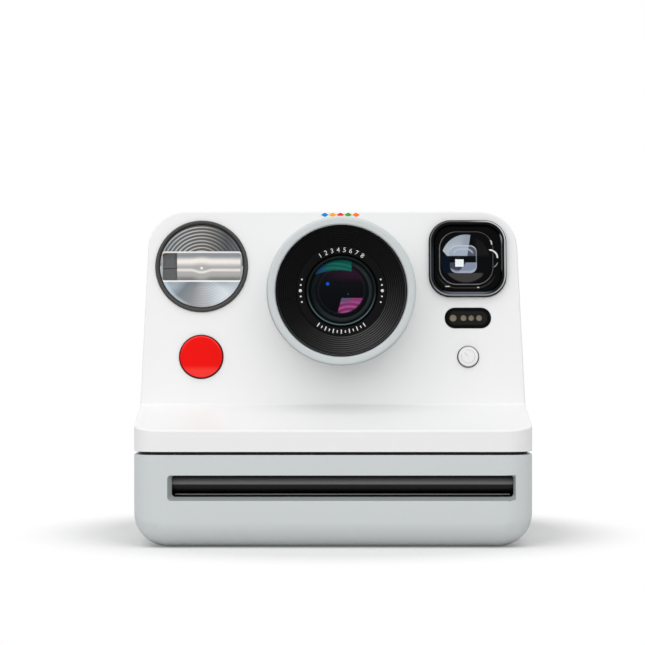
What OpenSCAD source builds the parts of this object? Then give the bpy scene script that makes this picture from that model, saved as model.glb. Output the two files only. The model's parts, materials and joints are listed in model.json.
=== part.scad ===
// Box-type instant camera with a folding film door, for integral film packs.
// Millimetres. +Z is up, the lens looks along -Y, and the origin is at the middle of the base.

/* [Body] */
// Overall width
body_w = 112.2; // [110:0.1:116]
// Overall depth, nose to back
body_d = 150.2; // [149:0.1:153]
// Overall height
body_h = 95.8; // [95:0.1:96.5]
// Width across the top of the upper shell
top_w = 107; // [105:0.5:109]
// Wall thickness of the shells
wall = 2; // [1.6:0.1:2.2]
// Height of the feet under the base
foot_h = 0.3; // [0.2:0.05:0.5]
// Radius of the long lower edges
base_r = 9.3; // [8:0.1:10]
// Radius of the upper side edges
top_r = 10.5; // [9.5:0.1:11]
// Radius of the nose corners, seen from above
nose_r = 8; // [7:0.1:9]
// Radius of the rear corners, seen from above
rear_r = 16; // [14:0.5:18]
// Where the front and rear shells meet, from the nose
split_d = 66; // [65:0.5:68]

/* [Nose, shelf and panel] */
// Height of the seam between the door and the shelf
seam_z = 27; // [26.8:0.1:27.2]
// Height of the seam gap
seam_gap = 0.6; // [0.5:0.05:0.7]
// Height of the shelf's front edge
shelf_z = 33; // [32.5:0.1:33.5]
// Height of the shelf where it meets the panel
panel_z = 39.2; // [39:0.1:39.5]
// Distance from the nose to the foot of the panel
panel_d = 37; // [36.5:0.1:37.5]
// Distance from the nose to where the rear slope starts at the top
top_d = 84; // [83.5:0.1:84.5]
// Height at which the rear slope meets the rear wall
rear_z = 46; // [45.5:0.1:46.5]
// Lean of the panel, degrees back from upright
panel_lean = 8; // [7:0.1:8.2]

/* [Lens] */
// Sideways place of the lens and of the film axis
lens_x = 2.4; // [2.2:0.1:2.6]
// Height of the lens axis
lens_z = 72.3; // [72:0.1:72.5]
// Distance from the nose to the lens front
lens_d = 22; // [21:0.1:24]
// Outer radius of the lens barrel
barrel_r = 21.45; // [21:0.05:21.6]
// Radius of the grooved black face
face_r = 18.8; // [18.5:0.05:18.9]
// Outer radius of the front lens holder
holder_r = 10; // [9.8:0.05:10.2]
// Radius of the front glass
glass_r = 9.2; // [9:0.05:9.3]

/* [Front controls] */
// Sideways place of the flash and the shutter button
left_x = -38.3; // [-38.5:0.1:-38]
// Sideways place of the viewfinder, the sensor and the timer button
right_x = 39.4; // [39:0.1:39.6]
// Height of the flash centre
flash_z = 79.6; // [79.3:0.1:79.8]
// Outer radius of the flash rim
flash_r = 13.45; // [13.2:0.05:13.5]
// Height of the viewfinder centre
finder_z = 81.8; // [81.5:0.1:81.9]
// Side of the viewfinder bezel
finder_w = 22.5; // [22:0.1:22.6]
// Corner radius of the viewfinder bezel
finder_r = 6.3; // [6:0.1:6.5]
// Height of the exposure sensor
sensor_z = 64.5; // [64.3:0.1:64.7]
// Width of the exposure sensor
sensor_w = 13.3; // [13:0.1:13.5]
// Height of the exposure sensor's window
sensor_h = 5.9; // [5.8:0.1:6]
// Height of the shutter and timer buttons
button_z = 53.2; // [53:0.1:53.4]
// Radius of the shutter button
shutter_r = 6.3; // [6.2:0.05:6.4]
// Radius of the timer button
timer_r = 3; // [2.9:0.05:3.1]

/* [Film path] */
// Width of the film exit slot
slot_w = 95.7; // [95:0.1:96]
// Lowest edge of the film exit slot
slot_z = 14.35; // [14.2:0.05:14.4]
// Height of the film exit slot
slot_h = 5.9; // [5.8:0.05:6]
// Height of the plane that the film leaves along
film_z = 14.75; // [14.7:0.01:14.8]
// Distance from the nose to the rollers
roller_d = 22; // [21.5:0.1:22]
// Radius of the lower roller
lower_r = 4.5; // [4.4:0.05:4.5]
// Radius of the upper roller
upper_r = 4; // [3.9:0.05:4]
// Gear module, pitch diameter over teeth
gear_m = 0.5; // [0.5:0.1:0.5]

/* [Door] */
// Distance from the nose to the hinge axis
hinge_d = 38; // [38:0.1:38.2]
// Height of the hinge axis
hinge_z = 3.4; // [3.4:0.05:3.5]
// Radius kept clear round the hinge axis
hinge_clear = 2.9; // [2.9:0.05:3]
// Radius of the hinge pins
hinge_pin_r = 0.9; // [0.8:0.05:1]

/* [Hidden] */
$fn = 48;
// Smallest overlap that keeps a cut clean
eps = 0.02;
// Gap between neighbouring fixed pieces
fit = 0.1;
// Gap round a button in its bore
play = 0.15;
seam_low = seam_z - seam_gap;
// Tilt of the rear slope from level
slope_angle = atan((body_h - rear_z) / (body_d - top_d));
lower_z = film_z - lower_r - 0.1;
upper_z = film_z + upper_r + 0.1;
// Teeth of the gears, and the places of their axes
roller_teeth = 18;
idler_teeth = 26;
pinion_teeth = 12;
// The idler stands where the roller gear backs straight away from it as the door opens
arm = [roller_d - hinge_d, lower_z - hinge_z];
parting = [arm[1], -arm[0]] / norm(arm);
idler_at = [roller_d, lower_z] + parting * gear_m * (roller_teeth + idler_teeth) / 2;
pinion_at = idler_at + [0, gear_m * (idler_teeth + pinion_teeth) / 2];
// Left face and width of the gear train
gear_x = -50;
gear_w = 3;
// Sideways places of the two hinges; half widths of a knuckle and of an ear, and where the ears stand
hinge_x = [-36, 36];
knuckle_half = 4;
ear_half = 1.7;
ear_off = 6;
// Lowest face of the knuckles' and ears' webs
web_z = hinge_z - 2.3;
// Rear edge of the door
door_back = hinge_d - 0.2;
// Middle of the film slot, and the depth of the chamfer round it
slot_x = lens_x + 0.25;
slot_chamfer = 1.2;
// Height at which the sides begin to lean inwards
taper_z = 36;
// Places of the feet and of the case screws, as x and distance from the nose
foot_places = [[-44, 46], [44, 46], [-42, 136], [42, 136]];
screw_places = [[-30, 52], [30, 52], [-30, 138], [30, 138]];
foot_r = 4;
screw_r = 1;
head_r = 2;
// Strap bars in their pockets
strap_d = 92;
strap_z = 57;
pocket_w = 9;
pocket_h = 6;
pocket_deep = 4.5;
// Keys and frame counter on the rear slope, as x and distance from the nose
power_at = [-30, 110];
flash_key_at = [-12, 110];
key_r = 4;
counter_at = [-21, 122];
counter_w = 12;
counter_h = 8;
counter_r = 2;
// Height and radii of the eyepiece, and the square shaft of light in front of it
eyepiece_z = 80.5;
eyepiece_r = 9.5;
eyepiece_bore = 6.6;
shaft_w = 16;
// Latch slider and charging socket in the side walls
latch_d = 45;
latch_z = 16;
usb_d = 120;
usb_z = 16;
// Radius of the drive motor
motor_r = 4.1;
// How far the buttons stand out, how far they travel, and the depths of cap and stem
button_proud = 1;
button_travel = 0.9;
cap_h = 3.4;
stem_h = 2.4;

// ---------- helpers ----------

// Distance behind the nose, as a Y coordinate
function back(d) = d - body_d / 2;
function unit(v) = v / norm(v);
function cross_z(a, b) = a[0] * b[1] - a[1] * b[0];

// One rounded corner between the corners before and after it, as an arc of short chords
function arc_corner(p0, p, p1, r, steps) =
    let (
        a = unit(p0 - p),
        b = unit(p1 - p),
        half = acos(a * b) / 2,
        centre = p + unit(a + b) * r / sin(half),
        first = p + a * r / tan(half) - centre,
        turn = (180 - 2 * half) * sign(cross_z(a, b)) * -1,
        start = atan2(first[1], first[0])
    )
    [for (i = [0:steps]) centre + r * [cos(start + turn * i / steps), sin(start + turn * i / steps)]];

// An outline whose corners are given as [x, y, radius]; radius 0 keeps a corner sharp
function rounded(corners, steps = 6) =
    let (n = len(corners))
    [for (i = [0:n - 1])
        let (
            c = corners[i],
            before = corners[(i + n - 1) % n],
            after = corners[(i + 1) % n],
            p = [c[0], c[1]]
        )
        each c[2] <= 0 ? [p] : arc_corner([before[0], before[1]], p, [after[0], after[1]], c[2], steps)];

// Puts a child drawn in (y, z) across the camera, so that it runs along X
module across(w, x = 0) {
    translate([x - w / 2, 0, 0]) rotate([90, 0, 90]) linear_extrude(w) children();
}
// Puts a child drawn in (x, z) along the camera, from distance d0 to d1 behind the nose
module along(d0, d1) {
    translate([0, back(d1), 0]) rotate([90, 0, 0]) linear_extrude(d1 - d0) children();
}
// A rod along Y, from distance d0 to d1
module rod_y(x, z, r, d0, d1) {
    translate([x, back(d1), z]) rotate([90, 0, 0]) cylinder(r = r, h = d1 - d0);
}
// A rod along X
module rod_x(d, z, r, x0, x1) {
    translate([x0, back(d), z]) rotate([0, 90, 0]) cylinder(r = r, h = x1 - x0);
}
// A box given by its ranges in x, d and z
module block(x0, x1, d0, d1, z0, z1) {
    translate([x0, back(d0), z0]) cube([x1 - x0, d1 - d0, z1 - z0]);
}
// A frame on the leaning panel: x stays, +Z of the child points out of the panel, +Y up along it
module on_panel(x, z) {
    translate([x, back(panel_depth(z)), z]) rotate([90 - panel_lean, 0, 0]) children();
}
function panel_depth(z) = panel_d + (z - panel_z) * tan(panel_lean);
// A flat shape with rounded corners, centred
module rounded_rect(w, h, r) {
    polygon(rounded([[-w / 2, -h / 2, r], [w / 2, -h / 2, r], [w / 2, h / 2, r], [-w / 2, h / 2, r]], 8));
}

// ---------- outer form ----------

// Outline seen from the front, drawn g inside the surface
function front_outline(g) = rounded([
    [-body_w / 2 + g, foot_h + g, base_r - g], [body_w / 2 - g, foot_h + g, base_r - g],
    [body_w / 2 - g, taper_z, 40], [top_w / 2 - g, body_h - g, top_r - g],
    [-top_w / 2 + g, body_h - g, top_r - g], [-body_w / 2 + g, taper_z, 40]
], 8);

// Outline seen from the side, as (y, z), drawn g inside the surface
function side_outline(g) = rounded([
    [back(g), foot_h + g, 8 - g], [back(body_d - g), foot_h + g, 8 - g],
    [back(body_d - g), rear_z - g * tan(45 - slope_angle / 2), 11 - g],
    [back(top_d - g * tan(slope_angle / 2)), body_h - g, 12 - g],
    [back(panel_depth(body_h - g) + g), body_h - g, 0.7 - g / 8],
    [back(panel_depth(panel_z - g) + g), panel_z - g, 1.2 + g],
    [back(g), shelf_z - g, 0.7 - g / 8]
], 6);

// Outline seen from above, drawn g inside the surface
function plan_outline(g) = rounded([
    [-body_w / 2 + g, back(g), nose_r - g], [body_w / 2 - g, back(g), nose_r - g],
    [body_w / 2 - g, back(body_d - g), rear_r - g], [-body_w / 2 + g, back(body_d - g), rear_r - g]
], 8);

module form(g = 0) {
    intersection() {
        across(body_w + 2) polygon(side_outline(g));
        along(-1, body_d + 1) polygon(front_outline(g));
        linear_extrude(body_h + 1) polygon(plan_outline(g));
    }
}
module skin() {
    difference() {
        form();
        form(wall);
    }
}
// The slice of a shell between two heights and two distances
module slice(d0, d1, z0, z1) {
    intersection() {
        children();
        block(-body_w, body_w, d0, d1, z0, z1);
    }
}

// ---------- outer shells ----------

// A frame on the rear slope: +Z of the child points out of it, +Y runs up it
module on_slope(x, d) {
    translate([x, back(d), body_h - (d - top_d) * tan(slope_angle)])
        rotate([-slope_angle, 0, 0]) rotate([0, 0, 180]) children();
}

module panel_openings(gap) {
    rod_y(lens_x, lens_z, barrel_r + gap, 10, barrel_seat + gap);
    rod_y(lens_x, lens_z, tube_r + 1.2 + gap, barrel_seat, barrel_back + 1);
    on_panel(left_x, flash_z) translate([0, 0, -8]) cylinder(r = flash_r + gap, h = 12);
    on_panel(right_x, finder_z) translate([0, 0, -8])
        linear_extrude(12) rounded_rect(finder_w + 2 * gap, finder_w + 2 * gap, finder_r + gap);
    on_panel(right_x, sensor_z) translate([0, 0, -8])
        linear_extrude(12) rounded_rect(sensor_w + 2 * gap, sensor_h + 2 * gap, sensor_h / 2);
    on_panel(left_x, button_z) translate([0, 0, -8]) cylinder(r = shutter_r + play, h = 12);
    on_panel(right_x, button_z) translate([0, 0, -8]) cylinder(r = timer_r + play, h = 12);
}

module front_shell() {
    color([0.96, 0.96, 0.96]) {
        difference() {
            slice(-1, split_d, seam_z, body_h + 1) skin();
            panel_openings(fit);
        }
        // Ribs under the shelf; the motor sits in the first
        difference() {
            intersection() {
                form(wall - eps);
                for (x = [-36, -14, 16, 38]) block(x, x + 2, wall, panel_d, seam_z, 40);
            }
            rod_x(pinion_at[0], pinion_at[1], motor_r + 0.02, -40, -20);
        }
    }
}

module strap_pocket(side, gap = 0) {
    translate([side * (body_w / 2 - 0.2), back(strap_d), strap_z])
        cube([2 * pocket_deep, pocket_w + 2 * gap, pocket_h + 2 * gap], center = true);
}

module rear_shell() {
    color([0.96, 0.96, 0.96]) {
        difference() {
            union() {
                slice(split_d + fit, body_d + 1, seam_z, body_h + 1) skin();
                // Boss round the eyepiece
                rod_y(right_x, eyepiece_z, eyepiece_r + 1.9, 86, 108);
                // Cups that back the two strap bars
                intersection() {
                    form(0.5);
                    for (side = [-1, 1])
                        translate([side * (body_w / 2 - 2.2), back(strap_d), strap_z])
                            cube([8, pocket_w + 3, pocket_h + 3], center = true);
                }
            }
            for (side = [-1, 1]) strap_pocket(side);
            rod_y(right_x, eyepiece_z, eyepiece_r + fit, 97, 125);
            rod_y(right_x, eyepiece_z, eyepiece_r + 3 * fit, 80, 97 + eps);
            for (at = [power_at, flash_key_at])
                on_slope(at[0], at[1]) translate([0, 0, -8]) cylinder(r = key_r + play, h = 12);
            on_slope(counter_at[0], counter_at[1]) translate([0, 0, -8])
                linear_extrude(12) rounded_rect(counter_w + 2 * fit, counter_h + 2 * fit, counter_r);
        }
    }
}

module seam_band() {
    color([0.05, 0.05, 0.05]) intersection() {
        difference() {
            form(1.4);
            form(3);
        }
        block(-body_w, body_w, -1, body_d, seam_low, seam_z);
    }
}

module lower_tub() {
    color([0.74, 0.76, 0.76]) {
        difference() {
            slice(hinge_d + 0.2, body_d + 1, 0, seam_low) skin();
            // Way for the latch slider through the side wall
            block(body_w / 2 - 4, body_w / 2 + 1, latch_d - 3.2, latch_d + 3.2, latch_z - 5.2, latch_z + 5.2);
            // Mouth of the charging socket in the left wall
            block(-body_w / 2 - 1, -body_w / 2 + 4, usb_d - 4.6, usb_d + 4.6, usb_z - 2, usb_z + 2);
            // Seats of the feet and holes of the case screws
            for (at = foot_places)
                translate([at[0], back(at[1]), -1]) cylinder(r = foot_r + fit, h = foot_h + 1.6);
            for (at = screw_places) translate([at[0], back(at[1]), -1]) {
                cylinder(r = screw_r + fit, h = 12);
                cylinder(r = head_r + fit, h = foot_h + 2);
            }
            // Room for the door's ears
            for (x = hinge_x, side = [-1, 1])
                rod_x(hinge_d, hinge_z, hinge_clear + 0.7, x + side * ear_off - 2, x + side * ear_off + 2);
            hinge_bore();
        }
        // Knuckles for the door hinge
        difference() {
            for (x = hinge_x) {
                rod_x(hinge_d, hinge_z, hinge_clear - 0.3, x - knuckle_half, x + knuckle_half);
                block(x - knuckle_half, x + knuckle_half, hinge_d, hinge_d + 4, web_z, hinge_z + 1.6);
            }
            hinge_bore();
        }
        // Screw posts
        for (at = screw_places) translate([at[0], back(at[1]), foot_h + 1.2]) difference() {
            cylinder(r = 3, h = 3);
            translate([0, 0, -1]) cylinder(r = screw_r + fit, h = 6);
        }
    }
}
module hinge_bore() {
    for (x = hinge_x) rod_x(hinge_d, hinge_z, hinge_pin_r + 0.05, x - 8, x + 8);
}

// ---------- door ----------

// Round ends of the ears that stand on both sides of each knuckle
module ears(r) {
    for (x = hinge_x, side = [-1, 1]) {
        ear_x = x + side * ear_off;
        rod_x(hinge_d, hinge_z, r, ear_x - ear_half, ear_x + ear_half);
    }
}

module door_shell() {
    color([0.76, 0.78, 0.78]) {
        difference() {
            slice(-1, door_back, 0, seam_low - 0.3) skin();
            // Film slot, and the chamfer along its lower edge and its ends
            along(-1, 4) translate([slot_x, slot_z + slot_h / 2]) rounded_rect(slot_w, slot_h, 1);
            across(slot_w, slot_x) polygon([
                [back(-0.1), slot_z - slot_chamfer - 0.1], [back(slot_chamfer), slot_z + eps],
                [back(-0.1), slot_z + eps]
            ]);
            for (side = [-1, 1]) translate([slot_x + side * slot_w / 2, 0, slot_z])
                linear_extrude(slot_h) polygon([
                    [side * (slot_chamfer + 0.1), back(-0.1)], [-side * eps, back(slot_chamfer)],
                    [-side * eps, back(-0.1)]
                ]);
            // Room round the hinge
            difference() {
                rod_x(hinge_d, hinge_z, hinge_clear, -body_w, body_w);
                ears(hinge_clear + 1);
            }
            block(-body_w, body_w, hinge_d - hinge_clear - 0.4, hinge_d + 1, -1, hinge_z);
        }
        // Ears that hold the hinge pins
        difference() {
            union() {
                ears(hinge_clear - 0.3);
                for (x = hinge_x, side = [-1, 1]) {
                    ear_x = x + side * ear_off;
                    block(ear_x - ear_half, ear_x + ear_half, hinge_d - 8, hinge_d, web_z, hinge_z + 1.4);
                }
            }
            for (x = hinge_x) rod_x(hinge_d, hinge_z, hinge_pin_r, x - 9, x + 9);
        }
    }
}
module hinge_pins() {
    color("silver") for (x = hinge_x)
        rod_x(hinge_d, hinge_z, hinge_pin_r, x - ear_off - ear_half, x + ear_off + ear_half);
}

// Black frame behind the film slot: an upper bar, a lower lip and two cheeks
module film_shield() {
    x0 = slot_x - slot_w / 2 - 1.5;
    x1 = slot_x + slot_w / 2 + 1.5;
    color([0.08, 0.08, 0.08]) intersection() {
        form(wall);
        union() {
            block(x0, x1, wall, wall + 1.2, slot_z + slot_h, slot_z + slot_h + 3);
            block(x0, x1, wall, wall + 1.2, slot_z - 3, slot_z - slot_chamfer);
            for (x = [x0, x1 - 1.5]) block(x, x + 1.5, wall, 9, slot_z - 3, slot_z + slot_h + 3);
            // Bar over the film and lip under it
            rod_x(4.8, film_z + 2.8, 2.05, x0 + 0.7, x1 - 0.7);
            block(x0 + 0.7, x1 - 0.7, 3, 8.5, slot_z - 0.4, film_z - 0.1);
        }
    }
}

// ---------- lens and shutter ----------

// Back of the barrel, where it steps down to pass behind the top of the shell, and its inner radius
barrel_back = 47;
barrel_seat = 44.9;
tube_r = 18.2;
module lens_barrel() {
    color([0.80, 0.82, 0.83]) translate([lens_x, back(barrel_back), lens_z]) rotate([90, 0, 0])
        rotate_extrude($fn = 96) polygon([
            [tube_r, 0], [tube_r + 1.2, 0], [tube_r + 1.2, barrel_back - barrel_seat],
            [barrel_r, barrel_back - barrel_seat], [barrel_r, barrel_back - lens_d - 1.2],
            [barrel_r - 0.5, barrel_back - lens_d - 0.3], [barrel_r - 1.2, barrel_back - lens_d],
            [face_r + 0.6, barrel_back - lens_d], [face_r + 0.1, barrel_back - lens_d - 0.8],
            [face_r + 0.1, barrel_back - lens_d - 3.2], [tube_r, barrel_back - lens_d - 3.2]
        ]);
}
// Stepped black disc; its steps are the grooved outer zone and the plain inner zone
module lens_face() {
    color([0.07, 0.07, 0.07]) translate([lens_x, back(lens_d + 3.2), lens_z]) rotate([90, 0, 0])
        rotate_extrude($fn = 96) polygon([
            [holder_r + 0.05, 0], [face_r, 0], [face_r, 2.3], [face_r - 0.4, 2.5],
            [15.6, 2.1], [15.2, 1.7], [11.2, 1.2], [10.8, 0.9], [holder_r + 0.05, 0.9]
        ]);
}
module lens_holder() {
    color([0.12, 0.13, 0.13]) translate([lens_x, back(lens_d + 6), lens_z]) rotate([90, 0, 0])
        rotate_extrude($fn = 72) polygon([
            [6.4, 0], [holder_r + 1.6, 0], [holder_r + 1.6, 2.7], [holder_r, 2.7], [holder_r, 4.1],
            [holder_r - 0.3, 4.4], [glass_r + 0.3, 4.4], [glass_r + 0.1, 4.2], [glass_r + 0.1, 2.6],
            [glass_r - 0.5, 2.6], [7.5, 1.2], [6.4, 1.1]
        ]);
}
// Front glass, a shallow dome
module front_lens() {
    color([0.10, 0.25, 0.24, 0.6]) translate([lens_x, back(lens_d + 3.4), lens_z]) rotate([90, 0, 0])
        intersection() {
            translate([0, 0, 1.95 - 32]) sphere(r = 32, $fn = 96);
            cylinder(r = glass_r, h = 6);
        }
}

// Front of the carrier, how far its pivot lies below the lens axis, and the radius of its lenses
carrier_d = 30.6;
carrier_drop = 6;
lens_cell_r = 4.4;
// Disc that swings one of two focusing lenses behind the front glass
module focus_carrier() {
    color([0.16, 0.16, 0.17]) difference() {
        union() {
            rod_y(lens_x, lens_z - carrier_drop, 11.4, carrier_d, carrier_d + 1.2);
            for (up = [-1, 1])
                rod_y(
                    lens_x, lens_z + (up - 1) * carrier_drop, lens_cell_r + 1,
                    carrier_d - 1, carrier_d + 1.2
                );
        }
        for (up = [-1, 1])
            rod_y(lens_x, lens_z + (up - 1) * carrier_drop, lens_cell_r, carrier_d - 2, carrier_d + 2);
        rod_y(lens_x, lens_z - carrier_drop, 1.05, carrier_d - 2, carrier_d + 3);
    }
}
module focus_lenses() {
    color([0.5, 0.6, 0.7, 0.5]) for (up = [-1, 1])
        rod_y(lens_x, lens_z + (up - 1) * carrier_drop, lens_cell_r, carrier_d - 0.4, carrier_d + 1);
}

// Front of the shutter plate, and the blades' pivots as seen from the lens axis
plate_d = 36;
blade_pivot = [13, 4];
// Plate across the barrel, with the aperture and the blade and carrier pivots
module shutter_plate() {
    color([0.12, 0.12, 0.13]) {
        difference() {
            rod_y(lens_x, lens_z, tube_r - 0.02, plate_d, plate_d + 1.6);
            rod_y(lens_x, lens_z, 4.2, plate_d - 1, plate_d + 3);
        }
        rod_y(lens_x, lens_z - carrier_drop, 1, carrier_d - 1, plate_d + eps);
        for (side = [-1, 1])
            rod_y(lens_x + side * blade_pivot[0], lens_z + blade_pivot[1], 0.9, plate_d - 2.6, plate_d + eps);
    }
}
// A blade: an eye on the pivot, an arm and a paddle that covers the aperture
module shutter_blade(side, d) {
    pivot = [lens_x + side * blade_pivot[0], lens_z + blade_pivot[1]];
    reach = norm(blade_pivot);
    color([0.2, 0.2, 0.21]) difference() {
        union() {
            rod_y(pivot[0], pivot[1], 1.9, d, d + 0.4);
            rod_y(lens_x, lens_z, 4.8, d, d + 0.4);
            translate([pivot[0], back(d + 0.4), pivot[1]])
                rotate([0, atan2(side * blade_pivot[0], blade_pivot[1]), 0])
                    translate([-1.5, 0, -reach]) cube([3, 0.4, reach]);
        }
        rod_y(pivot[0], pivot[1], 0.95, d - 1, d + 1);
    }
}
module shutter_blade_left() { shutter_blade(-1, plate_d - 0.9); }
module shutter_blade_right() { shutter_blade(1, plate_d - 1.8); }

// ---------- flash ----------

module flash_rim() {
    color([0.25, 0.26, 0.26]) on_panel(left_x, flash_z) difference() {
        translate([0, 0, -5]) cylinder(r = flash_r, h = 5.9, $fn = 96);
        translate([0, 0, -6]) cylinder(r = flash_r - 1.25, h = 8, $fn = 96);
    }
}
// Clear window; its stepped rings stand for the ribs of the diffuser
module flash_window() {
    color([0.85, 0.88, 0.9, 0.5]) on_panel(left_x, flash_z) difference() {
        translate([0, 0, -0.9]) cylinder(r = flash_r - 1.25, h = 1.5, $fn = 96);
        for (r = [3, 6, 9]) translate([0, 0, 0.4]) difference() {
            cylinder(r = r + 0.5, h = 1, $fn = 72);
            cylinder(r = r, h = 3, center = true, $fn = 72);
        }
    }
}
// Trough behind the window, open at the front
module flash_reflector() {
    color("silver") on_panel(left_x, flash_z) difference() {
        translate([-10.5, -6, -9]) cube([21, 12, 8.1]);
        translate([-9.8, 0, -1]) rotate([0, 90, 0]) cylinder(r = 5.3, h = 19.6);
    }
}
module flash_tube() {
    color([0.9, 0.9, 0.85, 0.6]) on_panel(left_x, flash_z)
        translate([-9.8, 0, -4.2]) rotate([0, 90, 0]) cylinder(r = 1.1, h = 19.6);
}
module flash_capacitor() {
    color([0.13, 0.14, 0.2]) rod_y(-46.4, 72, 5.2, 68, 100);
}

// ---------- viewfinder ----------

module finder_bezel() {
    color([0.06, 0.06, 0.06]) on_panel(right_x, finder_z) difference() {
        translate([0, 0, -5]) linear_extrude(6.4) rounded_rect(finder_w, finder_w, finder_r);
        translate([0, 0, -3]) linear_extrude(6) rounded_rect(finder_w - 3, finder_w - 3, finder_r - 1.4);
        translate([0, 0, -6]) linear_extrude(8) rounded_rect(14, 14, 5.5);
    }
}
// Clear front window of the finder, domed in the middle
module finder_window() {
    color([0.75, 0.8, 0.85, 0.4]) on_panel(right_x, finder_z) {
        translate([0, 0, -3]) linear_extrude(3.2)
            rounded_rect(finder_w - 3.1, finder_w - 3.1, finder_r - 1.4);
        intersection() {
            translate([0, 0, 0.7 - 22]) sphere(r = 22, $fn = 96);
            translate([0, 0, -1]) linear_extrude(4) rounded_rect(15.6, 16, 7);
        }
    }
}
module finder_tube() {
    color([0.1, 0.1, 0.1]) difference() {
        along(49.5, 104) translate([right_x, eyepiece_z]) rounded_rect(shaft_w, shaft_w, 5);
        along(48, 105) translate([right_x, eyepiece_z]) rounded_rect(shaft_w - 3, shaft_w - 3, 3);
    }
}
// Round eyepiece that stands off the rear slope
module eyepiece_frame() {
    color([0.08, 0.08, 0.08]) difference() {
        rod_y(right_x, eyepiece_z, eyepiece_r, 98, 112);
        rod_y(right_x, eyepiece_z, eyepiece_bore, 104.5, 115);
        along(97, 105) translate([right_x, eyepiece_z]) rounded_rect(9, 9, 2.5);
        along(97, 104) translate([right_x, eyepiece_z]) rounded_rect(shaft_w, shaft_w, 5);
    }
}
module eyepiece_lens() {
    color([0.7, 0.8, 0.85, 0.4]) rod_y(right_x, eyepiece_z, eyepiece_bore, 108, 110);
}

// ---------- exposure sensor ----------

// Sideways places and radii of the ports
sensor_places = [[-4.3, 0.95], [-1.3, 0.8], [0.95, 0.75], [3.25, 0.8]];
module sensor_bezel() {
    color([0.05, 0.05, 0.05]) on_panel(right_x, sensor_z) difference() {
        translate([0, 0, -3]) linear_extrude(3.2) rounded_rect(sensor_w, sensor_h, sensor_h / 2 - 0.01);
        for (port = sensor_places) translate([port[0], 0, -1.2]) cylinder(r = port[1] + 0.02, h = 2);
    }
}
module sensor_ports() {
    color([0.75, 0.6, 0.25]) on_panel(right_x, sensor_z) for (port = sensor_places)
        translate([port[0], 0, -1.2]) cylinder(r = port[1], h = 1);
}

// ---------- buttons ----------

module button(r) {
    rotate_extrude($fn = 72) polygon([
        [0, button_proud - cap_h - stem_h], [1.5, button_proud - cap_h - stem_h],
        [1.5, button_proud - cap_h], [r, button_proud - cap_h], [r, button_proud - 0.4],
        [r - 0.4, button_proud], [0, button_proud]
    ]);
}
module shutter_button() {
    color([0.9, 0.1, 0.07]) on_panel(left_x, button_z) button(shutter_r);
}
module timer_button() {
    color([0.95, 0.95, 0.95]) on_panel(right_x, button_z) button(timer_r);
}
module power_button() {
    color([0.9, 0.1, 0.07]) on_slope(power_at[0], power_at[1]) button(key_r);
}
module flash_button() {
    color([0.9, 0.9, 0.9]) on_slope(flash_key_at[0], flash_key_at[1]) button(key_r);
}
// A push switch on a small board, standing on two posts that reach the shell behind the button
module button_switch() {
    drop = button_proud - cap_h - stem_h - button_travel - 0.15;
    translate([-2, -2, drop - 2]) cube([4, 4, 2]);
    translate([-9.5, -4, drop - 3]) cube([19, 8, 1]);
    for (side = [-1, 1]) translate([side * 8.4, 0, drop - 2]) cylinder(r = 1, h = 2 - wall - drop - eps);
}
module button_switches() {
    color([0.2, 0.35, 0.25]) {
        on_panel(left_x, button_z) button_switch();
        on_panel(right_x, button_z) button_switch();
        for (at = [power_at, flash_key_at]) on_slope(at[0], at[1]) rotate([0, 0, 90]) button_switch();
    }
}

// ---------- frame counter ----------

module counter_window() {
    color([0.15, 0.15, 0.15, 0.6]) on_slope(counter_at[0], counter_at[1])
        translate([0, 0, -1.2]) linear_extrude(1.3) rounded_rect(counter_w, counter_h, counter_r);
}
module counter_display() {
    color([0.05, 0.05, 0.06]) on_slope(counter_at[0], counter_at[1])
        translate([-5.5, -3.5, -3.4]) cube([11, 7, 2.2]);
}

// ---------- dark chamber and mirror ----------

// Widths of the lower and upper parts, and the heights of floor, step and roof
chamber_wide = 84;
chamber_narrow = 40;
chamber_z = 20;
chamber_split = 50;
chamber_roof = 83.5;
// Distance of the front wall
chamber_front = 50;
// Height at which the plane of the mirror's opening passes over top_d
mirror_line = body_h - 12.4 / cos(slope_angle);
function mirror_height(d) = mirror_line - (d - top_d) * tan(slope_angle);
function mirror_depth(z) = top_d + (mirror_line - z) / tan(slope_angle);
// Side outline of the wide lower part or the narrow upper part, drawn g inside
module chamber_side(g, low) {
    foot = low ? chamber_z - (g > 0 ? 1 : 0) : chamber_split - g;
    roof = (low ? 58 : chamber_roof) - g;
    rear = (low ? 140 : 111) - g;
    over = g > 0 ? 3 : eps;
    polygon([
        [back(chamber_front + g), foot], [back(rear), foot], [back(rear), mirror_height(rear) + over],
        [back(mirror_depth(roof + over) + 2 * over), roof + over], [back(mirror_depth(roof)), roof],
        [back(chamber_front + g), roof]
    ]);
}
module dark_chamber() {
    color([0.09, 0.09, 0.09]) {
        difference() {
            union() {
                across(chamber_wide, lens_x) chamber_side(0, true);
                across(chamber_narrow, lens_x) chamber_side(0, false);
                rod_y(lens_x, lens_z, tube_r + 0.7, barrel_back, barrel_back + 1.6);
                rod_y(lens_x, lens_z, 11, barrel_back, chamber_front + 1);
            }
            across(chamber_wide - 3, lens_x) chamber_side(1.5, true);
            across(chamber_narrow - 3, lens_x) chamber_side(1.5, false);
            rod_y(lens_x, lens_z, 9.5, 40, 52);
        }
        // Flange that carries the gear plate
        block(gear_x - 1.2, lens_x - chamber_wide / 2, 50, 52, chamber_z, 33);
    }
}
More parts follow.
